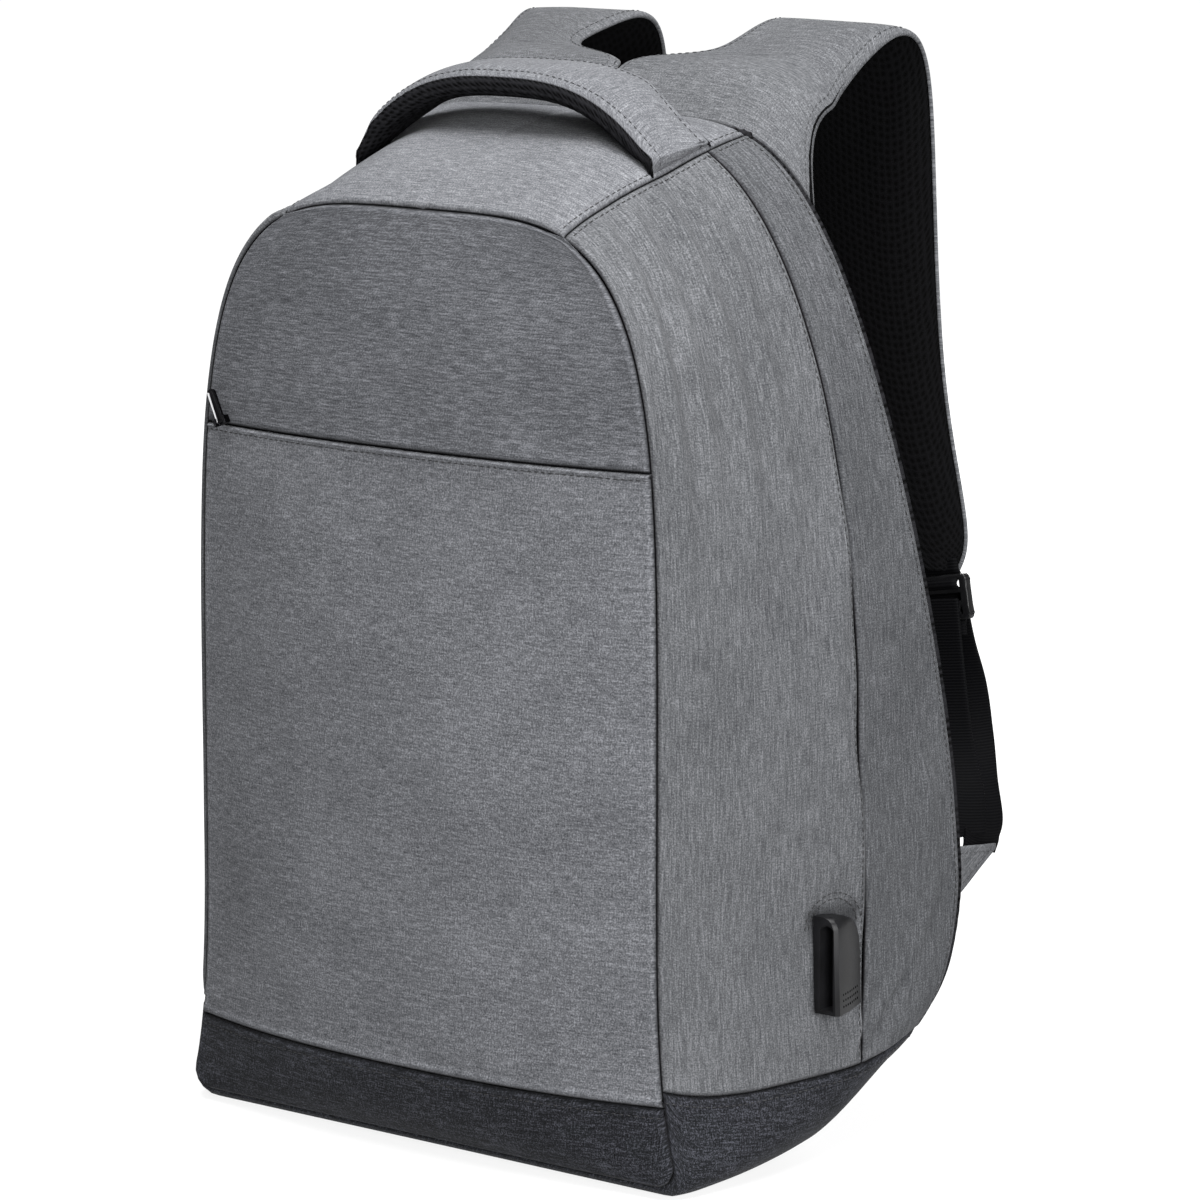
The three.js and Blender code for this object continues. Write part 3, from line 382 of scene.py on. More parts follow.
    def corner_length(self, level: int) -> float:
        """Running length at the middle of a level's lower corner."""
        corner = mix(self.front_corner, self.back_corner, (level / self.levels) ** 1.5)
        return self.section(level)["lengths"][self.floor_steps] + corner * math.pi / 4

    def top_point(self, x: float, y: float) -> Vector:
        """The point of the top cloth over a place.

        Args:
            x: the place across.
            y: the place back.

        Returns:
            The point in millimetres.
        """
        low, high = 0.0, 1.0
        for _ in range(24):
            middle = (low + high) / 2
            if self.cloth(Stretch.TOP, middle, self.top_depth(middle, y)).x < x:
                low = middle
            else:
                high = middle
        return self.cloth(Stretch.TOP, high, self.top_depth(high, y))

    def top_depth(self, share: float, y: float) -> float:
        """Depth share of a place back, at a share along the top cloth."""
        return (y + self.front_reach) / (self.back_seam(Stretch.TOP, share) + self.front_reach)


@dataclass
class Camera:
    """The photograph's viewpoint: a long lens, right of the front and a little above."""

    turn: float = math.radians(38.0)
    rise: float = math.radians(10.3)
    frame_pixels: float = 1200.0
    focal_pixels: float = 5309.4
    distance: float = 2348.1
    across: float = 25.6
    up: float = 224.5
    sensor: float = 36.0

    def place(self) -> bpy.types.Object:
        """Makes the camera and gives it to the scene.

        Returns:
            The camera object.
        """
        back = Vector((
            math.sin(self.turn) * math.cos(self.rise),
            -math.cos(self.turn) * math.cos(self.rise),
            math.sin(self.rise),
        ))
        right = Vector((math.cos(self.turn), math.sin(self.turn), 0.0))
        upward = back.cross(right)
        spot = back * self.distance + right * self.across + upward * self.up
        data = bpy.data.cameras.new("camera")
        data.sensor_width = self.sensor
        data.lens = self.focal_pixels * self.sensor / self.frame_pixels
        data.clip_end = 20.0
        camera = bpy.data.objects.new("camera", data)
        bpy.context.scene.collection.objects.link(camera)
        turned = Matrix((right, upward, back)).transposed().to_4x4()
        camera.matrix_world = Matrix.Translation(spot * MM) @ turned
        bpy.context.scene.camera = camera
        return camera


def linear(code: str) -> tuple[float, float, float, float]:
    """An sRGB hex colour as Blender's linear colour.

    Args:
        code: six hex digits after a hash sign.

    Returns:
        Red, green, blue and an alpha of 1.
    """
    channels = [int(code[i:i + 2], 16) / 255 for i in (1, 3, 5)]
    red, green, blue = (c / 12.92 if c <= 0.04045 else ((c + 0.055) / 1.055) ** 2.4 for c in channels)
    return red, green, blue, 1.0


def feed(made: bpy.types.Node, **inputs) -> None:
    """Gives a node's sockets their values and links.

    Args:
        made: the node.
        inputs: values or sockets to link, by name; a name's underscores are spaces, and i0 is socket 0.
    """
    for name, value in inputs.items():
        socket = made.inputs[int(name[1:]) if name[1:].isdigit() else name.replace("_", " ")]
        if isinstance(value, bpy.types.NodeSocket):
            made.id_data.links.new(value, socket)
        else:
            socket.default_value = value


def node(
    tree: bpy.types.NodeTree, kind: str, settings: dict | None = None, stops: Sequence[tuple[float, str]] = (),
    **inputs,
) -> bpy.types.Node:
    """Adds a node with its settings, values and links.

    Args:
        tree: the node tree.
        kind: the node's type, without its leading words.
        settings: properties of the node itself.
        stops: places and hex colours of a colour ramp.
        inputs: values or sockets to link, by name.

    Returns:
        The new node.
    """
    made = tree.nodes.new(f"ShaderNode{kind}")
    for name, value in (settings or {}).items():
        setattr(made, name, value)
    if stops:
        bar = made.color_ramp.elements
        bar[0].position, bar[1].position = stops[0][0], stops[-1][0]
        bar[0].color, bar[1].color = linear(stops[0][1]), linear(stops[-1][1])
        for place, code in stops[1:-1]:
            bar.new(place).color = linear(code)
    feed(made, **inputs)
    return made


def new_material(name: str) -> tuple[bpy.types.Material, bpy.types.NodeTree, bpy.types.Node]:
    """An empty material with its shader linked to the output.

    Args:
        name: the material's name.

    Returns:
        The material, its node tree and its shader.
    """
    material = bpy.data.materials.new(name)
    material.use_nodes = True
    tree = material.node_tree
    tree.nodes.clear()
    shader = node(tree, "BsdfPrincipled")
    node(tree, "OutputMaterial", Surface=shader.outputs["BSDF"])
    return material, tree, shader


@dataclass(frozen=True)
class HeatherCloth:
    """Woven heather polyester, 600 denier: light and dark fibres twisted in one yarn.

    The eye sees short streaks along the yarns and a fine grain. Yarns of 0.4 mm are too fine for the
    render, so the streaks are drawn about 0.9 mm wide.
    """

    name: str
    dark: str
    middle: str
    light: str
    streak_length: float
    streak_width: float
    cross_share: float
    contrast: float = 0.8
    upright: bool = False
    bump: float = 0.25
    # Colour of the dark line along each seam: partly the seam's own dark allowance, partly painted shade in the
    # seam's groove.
    seam: str = "#0c0c0e"

    def build(self) -> bpy.types.Material:
        """Makes the cloth's material, which reads the piece's own UV map in metres.

        Returns:
            The material.
        """
        material, tree, shader = new_material(self.name)
        uv = node(tree, "UVMap", {"uv_map": "cloth"}).outputs["UV"]
        turn = math.pi / 2 if self.upright else 0.0
        laid = node(tree, "Mapping", Vector=uv, Rotation=(0, 0, turn)).outputs["Vector"]

        def streaks(length: float, width: float, detail: float) -> bpy.types.NodeSocket:
            """Noise drawn out along one yarn direction, its length and width in millimetres."""
            scaled = node(tree, "Mapping", Vector=laid, Scale=(1000 / length, 1000 / width, 1))
            return node(
                tree, "TexNoise", {"noise_dimensions": "2D"}, Vector=scaled.outputs["Vector"], Scale=1.0,
                Detail=detail, Roughness=0.6,
            ).outputs["Fac"]

        along = streaks(self.streak_length, self.streak_width, 3.0)
        grain = streaks(0.75, 0.75, 1.0)
        layers = (
            (self.cross_share, streaks(self.streak_width, self.streak_length * 0.6, 2.0)),
            (0.2, streaks(self.streak_length * 3.5, self.streak_width * 2.2, 2.0)),
            (0.36, grain),
            (0.09, streaks(70.0, 45.0, 3.0)),
        )
        mixed = along
        for share, layer in layers:
            mixed = node(tree, "Mix", Factor=share, A=mixed, B=layer).outputs["Result"]
        spread = 0.12 / self.contrast
        stops = ((0.5 - spread, self.dark), (0.5, self.middle), (0.5 + spread, self.light))
        colour = node(tree, "ValToRGB", stops=stops, Fac=mixed).outputs["Color"]
        # Darkens the cloth along each seam: partly the seam's own dark allowance, partly painted shade in its
        # groove.
        seam = node(tree, "Attribute", {"attribute_name": "seam"}).outputs["Fac"]
        seam_shaded_colour = node(tree, "Mix", {"data_type": "RGBA"}, i0=seam, i6=colour, i7=linear(self.seam)).outputs[2]
        weave = node(tree, "Mix", Factor=0.5, A=along, B=grain).outputs["Result"]
        relief = node(tree, "Bump", Strength=self.bump, Distance=0.0005, Height=weave).outputs["Normal"]
        feed(
            shader, Base_Color=seam_shaded_colour, Normal=relief, Roughness=0.92, IOR=1.45, Specular_IOR_Level=0.1,
            Sheen_Weight=0.02, Sheen_Roughness=0.5,
        )
        return material


@dataclass(frozen=True)
class AirMesh:
    """Knitted black spacer mesh over foam: rows of small open cells, dull and very dark."""

    name: str = "knitted_air_mesh_shaded"
    thread: str = "#080809"
    # Colour of the open cells, darker than the threads: painted shade inside the cells.
    cell_shade: str = "#020202"
    cell: float = 3.4
    bump: float = 0.6

    def build(self) -> bpy.types.Material:
        """Makes the mesh's material, with cells at their real pitch on the piece's UV map.

        Returns:
            The material.
        """
        material, tree, shader = new_material(self.name)
        uv = node(tree, "UVMap", {"uv_map": "cloth"}).outputs["UV"]
        scaled = node(tree, "Mapping", Vector=uv, Scale=(1000 / self.cell,) * 3).outputs["Vector"]
        cells = node(
            tree, "TexVoronoi", {"voronoi_dimensions": "2D", "feature": "F1"},
            Vector=scaled, Scale=1.0, Randomness=0.25,
        ).outputs["Distance"]
        fuzz = node(tree, "TexNoise", Vector=scaled, Scale=9.0, Detail=2.0).outputs["Fac"]
        spun = node(tree, "Mix", Factor=0.3, A=cells, B=fuzz).outputs["Result"]
        stops = ((0.22, self.cell_shade), (0.5, self.thread))
        colour = node(tree, "ValToRGB", stops=stops, Fac=spun).outputs["Color"]
        relief = node(tree, "Bump", Strength=self.bump, Distance=0.0008, Height=spun).outputs["Normal"]
        feed(shader, Base_Color=colour, Normal=relief, Roughness=0.85, Specular_IOR_Level=0.03)
        return material


@dataclass(frozen=True)
class Webbing:
    """Woven nylon webbing: ribs across the strap, the valleys between them painted darker as painted shade, with
    a slight gleam on each.
    """

    name: str = "ribbed_nylon_webbing"
    rib: str = "#060607"
    valley_shade: str = "#020203"
    pitch: float = 1.3

    def build(self) -> bpy.types.Material:
        """Makes the webbing's material, with ribs at their real pitch.

        Returns:
            The material.
        """
        material, tree, shader = new_material(self.name)
        uv = node(tree, "UVMap", {"uv_map": "cloth"}).outputs["UV"]
        ribs = node(
            tree, "TexWave", {"bands_direction": "Y"}, Vector=uv,
            Scale=math.pi / 10 * 1000 / self.pitch, Distortion=0.6, Detail=1.0,
        ).outputs["Fac"]
        # The valleys between the ribs are painted darker: painted shade.
        stops = ((0.2, self.valley_shade), (0.8, self.rib))
        colour = node(tree, "ValToRGB", stops=stops, Fac=ribs).outputs["Color"]
        relief = node(tree, "Bump", Strength=0.4, Distance=0.0004, Height=ribs).outputs["Normal"]
        feed(shader, Base_Color=colour, Normal=relief, Roughness=0.75, Specular_IOR_Level=0.04)
        return material


@dataclass(frozen=True)
class Thread:
    """Spun polyester sewing thread, a little darker than its cloth, so a seam reads as small dashes."""

    name: str
    colour: str

    def build(self) -> bpy.types.Material:
        """Makes the thread's material with a fine twist.

        Returns:
            The material.
        """
        material, tree, shader = new_material(self.name)
        spot = node(tree, "TexCoord").outputs["Object"]
        twist = node(tree, "TexNoise", Vector=spot, Scale=2500.0, Detail=1.0).outputs["Fac"]
        shade = f"#{''.join(f'{int(int(self.colour[i:i + 2], 16) * 0.7):02x}' for i in (1, 3, 5))}"
        stops = ((0.35, shade), (0.65, self.colour))
        colour = node(tree, "ValToRGB", stops=stops, Fac=twist).outputs["Color"]
        feed(shader, Base_Color=colour, Roughness=0.7)
        return material


@dataclass(frozen=True)
class MouldedPlastic:
    """Injection-moulded ABS with a fine spark-eroded texture: even colour, soft broad gleam."""

    name: str
    colour: str
    worn: str
    roughness: float
    gleam: float
    grain: float = 0.35

    def build(self) -> bpy.types.Material:
        """Makes the plastic's material, with its grain on object coordinates.

        Returns:
            The material.
        """
        material, tree, shader = new_material(self.name)
        spot = node(tree, "TexCoord").outputs["Object"]
        fine = node(tree, "TexNoise", Vector=spot, Scale=1000 / self.grain, Detail=2.0).outputs["Fac"]
        broad = node(tree, "TexNoise", Vector=spot, Scale=90.0, Detail=3.0).outputs["Fac"]
        stops = ((0.35, self.colour), (0.75, self.worn))
        colour = node(tree, "ValToRGB", stops=stops, Fac=broad).outputs["Color"]
        relief = node(tree, "Bump", Strength=0.12, Distance=0.0002, Height=fine).outputs["Normal"]
        feed(
            shader, Base_Color=colour, Normal=relief, Roughness=self.roughness, IOR=1.54,
            Specular_IOR_Level=self.gleam,
        )
        return material


@dataclass(frozen=True)
class PlatedZinc:
    """Die-cast zinc with a dark nickel plate: smooth, mirror-like at its edges, faint rub marks."""

    name: str
    colour: str
    roughness: float

    def build(self) -> bpy.types.Material:
        """Makes the metal's material, its roughness varied by faint rubbing.

        Returns:
            The material.
        """
        material, tree, shader = new_material(self.name)
        spot = node(tree, "TexCoord").outputs["Object"]
        rub = node(tree, "TexNoise", Vector=spot, Scale=700.0, Detail=3.0).outputs["Fac"]
        rough = node(
            tree, "MapRange", Value=rub, From_Min=0.3, From_Max=0.7,
            To_Min=self.roughness * 0.7, To_Max=self.roughness * 1.5,
        ).outputs["Result"]
        feed(shader, Base_Color=linear(self.colour), Roughness=rough, Metallic=1.0)
        return material


def spaced(length: float, step: float, edges: tuple[bool, bool] = (True, True)) -> np.ndarray:
    """Shares along a length, close together near its seams and a step apart between them.

    Args:
        length: the length in millimetres.
        step: spacing away from the seams.
        edges: whether the start and the end are seams.

    Returns:
        Rising shares from 0 to 1.
    """
    near = np.array((0.0, 0.45, 0.9, 1.4, 2.0, 2.7, 3.4, 4.2, 5.2, 6.6))
    start = near if edges[0] else np.array((0.0,))
    end = length - near[::-1] if edges[1] else np.array((length,))
    low, high = start[-1], end[0]
    count = max(int(round((high - low) / step)), 2)
    middle = np.linspace(low, high, count + 1)[1:-1]
    return np.concatenate((start, middle, end)) / length


def wobble(points: np.ndarray, scale: float, seed: float) -> np.ndarray:
    """Gentle unevenness of stuffed cloth, from -1 to 1, at each point of a lattice.

    Args:
        points: lattice of points in millimetres.
        scale: size of one swell in millimetres.
        seed: shifts the pattern.

    Returns:
        One value for each point.
    """
    flat = points.reshape(-1, 3) / scale + seed
    values = [noise.noise(Vector(spot)) for spot in flat]
    return np.array(values).reshape(points.shape[:2])


def groove(distance: np.ndarray, place: float, width: float) -> np.ndarray:
    """A soft ridge of height 1 at a distance from a seam."""
    return np.exp(-(((distance - place) / width) ** 2))


@dataclass
class Lattice:
    """A sheet of cloth as a grid of points, with its running distances in both directions."""

    points: np.ndarray
    outward: np.ndarray
    seams: list[Edge] = field(default_factory=list)
    # Half width of the dark line at each seam, partly painted shade.
    seam_width: float = 0.55
    plain: bool = False

    def __post_init__(self) -> None:
        """Measures the sheet once, as it was cut."""
        self.measure()
        self.smooth = self.outward if self.plain else self.normals()
        self.rolled = np.zeros(self.points.shape[:2])
        self.swell = np.zeros(self.points.shape[:2])
        self.painted_shade = np.zeros(self.points.shape[:2])

    def measure(self) -> None:
        """Works out the running distances along both directions."""
        along_u = np.linalg.norm(np.diff(self.points, axis=0), axis=2)
        along_v = np.linalg.norm(np.diff(self.points, axis=1), axis=2)
        self.u = np.concatenate((np.zeros((1, self.points.shape[1])), np.cumsum(along_u, axis=0)))
        self.v = np.concatenate((np.zeros((self.points.shape[0], 1)), np.cumsum(along_v, axis=1)), axis=1)

    def off(self, edge: Edge) -> np.ndarray:
        """Every point's distance from an edge, in millimetres along the sheet."""
        axis, last = edge.value
        run = (self.u, self.v)[axis]
        return np.take(run, [-1], axis=axis) - run if last else run

    def within(self, *fades: float) -> np.ndarray:
        """A mask that rises from 0 at the sheet's edges to 1 inside.

        Args:
            fades: width of the rise at each edge, in the order of Edge; 0 leaves an edge out.

        Returns:
            One value for each point.
        """
        made = np.ones(self.u.shape)
        for edge, fade in zip(Edge, fades):
            if fade:
                made = made * smooth01(self.off(edge) / fade)
        return made

    def normals(self) -> np.ndarray:
        """Unit normals that point outwards."""
        made = np.cross(np.gradient(self.points, axis=0), np.gradient(self.points, axis=1))
        made /= np.maximum(np.linalg.norm(made, axis=2, keepdims=True), 1e-9)
        facing = np.sum(made * self.outward, axis=2).mean()
        return made if facing > 0 else -made

    def push(self, amount: np.ndarray) -> None:
        """Moves each point along its normal.

        Args:
            amount: millimetres outwards for each point.
        """
        self.points = self.points + self.smooth * amount[..., None]

    def seam_edges(self, edges: Iterable[Edge], roll: float, lip: float) -> None:
        """Turns edges of the sheet in at their seams, with a slight swell beside each.

        Args:
            edges: the edges.
            roll: how far the edge turns in.
            lip: how far the cloth swells beside it.
        """
        rolled, swell = self.rolled, self.swell
        for edge in edges:
            self.seams.append(edge)
            rolled = np.maximum(rolled, roll * groove(self.off(edge), 0.0, 1.0))
            swell = np.maximum(swell, lip * groove(self.off(edge), 2.4, 1.5))
        self.push(swell - self.swell - rolled + self.rolled)
        self.rolled, self.swell = rolled, swell

    def furrow(self, edge: Edge, place: float, deep: float) -> None:
        """Draws the cloth in along a line of stitches beside an edge."""
        self.push(-deep * groove(self.off(edge), place, 0.8))

    def track(self, edge: Edge, place: float) -> tuple[np.ndarray, np.ndarray]:
        """The line that lies at a distance from an edge.

        Args:
            edge: the edge.
            place: distance from it in millimetres.

        Returns:
            Points and normals along the line.
        """
        axis, last = edge.value
        grids = (self.off(edge), self.points, self.normals())
        if axis == 0:
            grids = tuple(grid.swapaxes(0, 1) for grid in grids)
        if last:
            grids = tuple(grid[:, ::-1] for grid in grids)
        spots, facing = [], []
        for line, row, turn in zip(*grids):
            i = min(max(int(np.searchsorted(line, place)), 1), len(line) - 1)
            share = clamp01((place - line[i - 1]) / max(line[i] - line[i - 1], 1e-9))
            spots.append(row[i - 1] * (1 - share) + row[i] * share)
            facing.append(turn[i - 1] * (1 - share) + turn[i] * share)
        return np.array(spots), np.array(facing)

    def build(
        self, name: str, material: bpy.types.Material, wall: float, slot: str, stands_for: str = "",
        turned: bool = True, offset: float = -1.0,
    ) -> bpy.types.Object:
        """Writes the sheet as a closed piece of cloth on the bag.

        Args:
            name: the piece's name.
            material: its material.
            wall: its thickness in millimetres.
            slot: the record's material slot; not used.
            stands_for: the node it replaces.
            turned: whether its own map runs along v first.
            offset: which way the thickness goes, -1 inwards.

        Returns:
            The object.
        """
        rows, columns = self.points.shape[:2]
        across, along = (self.v, self.u) if turned else (self.u, self.v)
        facing = self.normals()
        mesh = bmesh.new()
        bmesh.ops.create_grid(mesh, x_segments=rows - 1, y_segments=columns - 1, size=0.5)
        layer = mesh.loops.layers.uv.new("cloth")
        # Each vertex's darkness, read by the cloth's material: the painted shade round the port, and the dark
        # line at each seam, partly the seam's own dark allowance and partly painted shade in its groove.
        shade = mesh.verts.layers.float.new("seam")
        dark = self.painted_shade
        for seam in self.seams:
            dark = np.maximum(dark, groove(self.off(seam), 0.0, self.seam_width))
        spot = {}
        for vert in mesh.verts:
            i = round((vert.co.x + 0.5) * (rows - 1))
            j = round((vert.co.y + 0.5) * (columns - 1))
            vert.co = self.points[i, j] * MM
            vert[shade] = float(dark[i, j])
            spot[vert] = (i, j)
        for face in mesh.faces:
            for loop in face.loops:
                i, j = spot[loop.vert]
                loop[layer].uv = (across[i, j] * MM, along[i, j] * MM)
        mesh.normal_update()
        sample = mesh.faces[:][len(mesh.faces) // 2]
        i, j = spot[sample.loops[0].vert]
        if sample.normal.dot(Vector(facing[i, j])) < 0:
            bmesh.ops.reverse_faces(mesh, faces=mesh.faces[:])
        piece = finish_mesh(name, mesh, material, stands_for)
        thick = piece.modifiers.new("wall", "SOLIDIFY")
        thick.thickness = wall * MM
        thick.offset = offset
        thick.use_even_offset = False
        return piece


def write_mesh(name: str, mesh: bmesh.types.BMesh, material: bpy.types.Material) -> bpy.types.Object:
    """Writes a bmesh as a smooth object that sits at the origin.

    Args:
        name: the object's name.
        mesh: the bmesh, which is freed.
        material: its material.

    Returns:
        The object.
    """
    for face in mesh.faces:
        face.smooth = True
    data = bpy.data.meshes.new(name)
    mesh.to_mesh(data)
    mesh.free()
    data.materials.append(material)
    piece = bpy.data.objects.new(name, data)
    bpy.context.scene.collection.objects.link(piece)
    LOG.info("%s: %d faces", name, len(data.polygons))
    return piece


def finish_mesh(
    name: str, mesh: bmesh.types.BMesh, material: bpy.types.Material, stands_for: str = "",
    body: str = "bag",
) -> bpy.types.Object:
    """Writes a bmesh as a piece that rides on its body, stands for its node and takes the given material.

    Args:
        name: the piece's name.
        mesh: the bmesh, which is freed.
        material: its material.
        stands_for: the node it replaces, if any.
        body: the body it rides on.

    Returns:
        The piece.
    """
    piece = write_mesh(name, mesh, material)
    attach(piece, body)
    if stands_for:
        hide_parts(stands_for)
    return piece


def round_edges(piece: bpy.types.Object, name: str, radius: float, segments: int, angle: float = 30.0) -> None:
    """Rounds a piece's sharp edges with a modifier.

    Args:
        piece: the piece.
        name: the modifier's name.
        radius: the radius in millimetres.
        segments: faces across the rounding.
        angle: the least angle in degrees between faces that it rounds.
    """
    soft = piece.modifiers.new(name, "BEVEL")
    soft.width = radius * MM
    soft.segments = segments
    soft.limit_method = "ANGLE"
    soft.angle_limit = math.radians(angle)


def thicken(mesh: bmesh.types.BMesh, wall: float) -> None:
    """Gives a flat plate in the plane of X and Z its thickness, half to each side.

    Args:
        mesh: the plate.
        wall: the thickness.
    """
    bmesh.ops.recalc_face_normals(mesh, faces=mesh.faces[:])
    made = bmesh.ops.extrude_face_region(mesh, geom=mesh.faces[:])
    raised = [item for item in made["geom"] if isinstance(item, bmesh.types.BMVert)]
    bmesh.ops.translate(mesh, verts=raised, vec=(0, wall, 0))
    bmesh.ops.translate(mesh, verts=mesh.verts[:], vec=(0, -wall / 2, 0))
    bmesh.ops.recalc_face_normals(mesh, faces=mesh.faces[:])


@dataclass
class Stitching:
    """Runs of sewing, each stitch a small spindle of thread that lies on the cloth."""

    thread: bpy.types.Material
    pitch: float = 3.4
    length: float = 2.5
    thickness: float = 0.6
    runs: list = field(default_factory=list)

    def add(self, spots: np.ndarray, facing: np.ndarray, lift: float = 0.12) -> None:
        """Adds a run along a line of points.

        Args:
            spots: points in millimetres.
            facing: the cloth's normal at each.
            lift: height of the thread's middle over the cloth.
        """
        self.runs.append((spots + facing * lift, facing))

    def build(self, name: str, slot: str) -> bpy.types.Object:
        """Sews every run into one piece.

        Args:
            name: the piece's name.
            slot: the record's material slot; not used.

        Returns:
            The object.
        """
        mesh = bmesh.new()
        for spots, facing in self.runs:
            steps = np.linalg.norm(np.diff(spots, axis=0), axis=1)
            lengths = np.concatenate(((0.0,), np.cumsum(steps)))
            count = int(lengths[-1] / self.pitch)
            for k in range(count):
                self.stitch(mesh, spots, facing, lengths, (k + 0.5) * self.pitch)
        return finish_mesh(name, mesh, self.thread)

    def stitch(
        self, mesh: bmesh.types.BMesh, spots: np.ndarray, facing: np.ndarray, lengths: np.ndarray, place: float,
    ) -> None:
        """Lays one stitch on its line.

        Args:
            mesh: the bmesh it joins.
            spots: the line's points.
            facing: the cloth's normals there.
            lengths: the running length at each point.
            place: the running length at the stitch's middle.
        """

        def at(length: float, rows: np.ndarray) -> Vector:
            """The row's value at a running length."""
            return Vector([float(np.interp(length, lengths, rows[:, axis])) for axis in range(3)])

        start = at(place - self.length / 2, spots)
        end = at(place + self.length / 2, spots)
        along = (end - start).normalized()
        up = at(place, facing).normalized()
        side = along.cross(up).normalized()
        up = side.cross(along).normalized()
        turned = Matrix((
            along * (self.length / 2), side * (self.thickness / 2), up * (self.thickness / 2),
        )).transposed().to_4x4()
        placed = Matrix.Scale(MM, 4) @ Matrix.Translation((start + end) / 2) @ turned
        bmesh.ops.create_icosphere(mesh, subdivisions=1, radius=1.0, matrix=placed)


class Palette:
    """The finishes of the bag, made once."""

    def __init__(self) -> None:
        """Makes every finish. Cloths take dark, middle and light fibres, then streaks and the share across."""
        # One grey heather cloth in lit and shaded copies, each panel's tone set for how light falls on it.
        self.front_cloth = HeatherCloth(
            "heather_polyester_pocket", "#2c2d30", "#494a4d", "#6b6c70", 5.0, 0.8, 0.45,
        ).build()
        # The upper front is painted darker than the pocket: painted shade.
        self.shaded_upper_cloth = HeatherCloth(
            "heather_polyester_front_painted_shade", "#27282b", "#404144", "#5f6064", 7.0, 0.8, 0.2,
        ).build()
        self.side_cloth = HeatherCloth(
            "heather_polyester_side", "#2b2c2f", "#434446", "#606164", 9.0, 0.75, 0.28, upright=True,
        ).build()
        # The rear of each side is painted darker than its front: painted shade.
        self.shaded_rear_cloth = HeatherCloth(
            "heather_polyester_side_rear_painted_shade", "#252629", "#3a3b3d", "#555659", 9.0, 0.75, 0.28, upright=True,
        ).build()
        # The top is painted lighter: painted light from above.
        self.lit_top_cloth = HeatherCloth(
            "heather_polyester_top_painted_light", "#343538", "#4e4f52", "#6c6d70", 6.0, 0.8, 0.3,
        ).build()
        self.strap_cloth = HeatherCloth(
            "heather_polyester_strap", "#2c2d30", "#434446", "#5f6063", 6.0, 0.8, 0.3,
        ).build()
        self.base_cloth = HeatherCloth(
            "charcoal_polyester", "#060708", "#17181b", "#3a3b41", 7.0, 0.75, 0.45, contrast=0.95, bump=0.4,
        ).build()
        # The straps' mesh is the darkest copy, painted near black as painted shade for the straps' shaded
        # underside; the handle's and the back's copies are lighter.
        self.mesh = AirMesh().build()
        self.handle_mesh = AirMesh("handle_air_mesh", "#161618", "#010101", 3.0, 0.8).build()
        self.back_mesh = AirMesh("back_air_mesh", "#1c1c1e", "#040404", 3.4, 0.8).build()
        self.webbing = Webbing().build()
        # The zip tape's valleys between its ribs are painted darker too: painted shade.
        self.zip_tape = Webbing("woven_zip_tape", "#151518", "#070708", 0.9).build()
        self.grey_thread = Thread("polyester_thread_grey", "#111113").build()
        self.pale_thread = Thread("polyester_thread_pale", "#2c2d30").build()
        self.plastic = MouldedPlastic("textured_abs", "#070708", "#0d0d0e", 0.42, 0.2).build()
        self.port = MouldedPlastic("soft_grey_abs", "#0c0c0d", "#131315", 0.42, 0.12).build()
        # Near-black matte dots: painted shade standing for small dimples in the port's face.
        self.dots = MouldedPlastic("dimple_dots_painted_shade", "#010101", "#020202", 0.9, 0.0).build()
        self.metal = PlatedZinc("dark_plated_zinc", "#19191b", 0.3).build()
        # Bright metal for the pull's left edge: a polished edge, and a painted highlight.
        self.highlight_metal = PlatedZinc("nickel_edge_painted_highlight", "#ececee", 0.3).build()


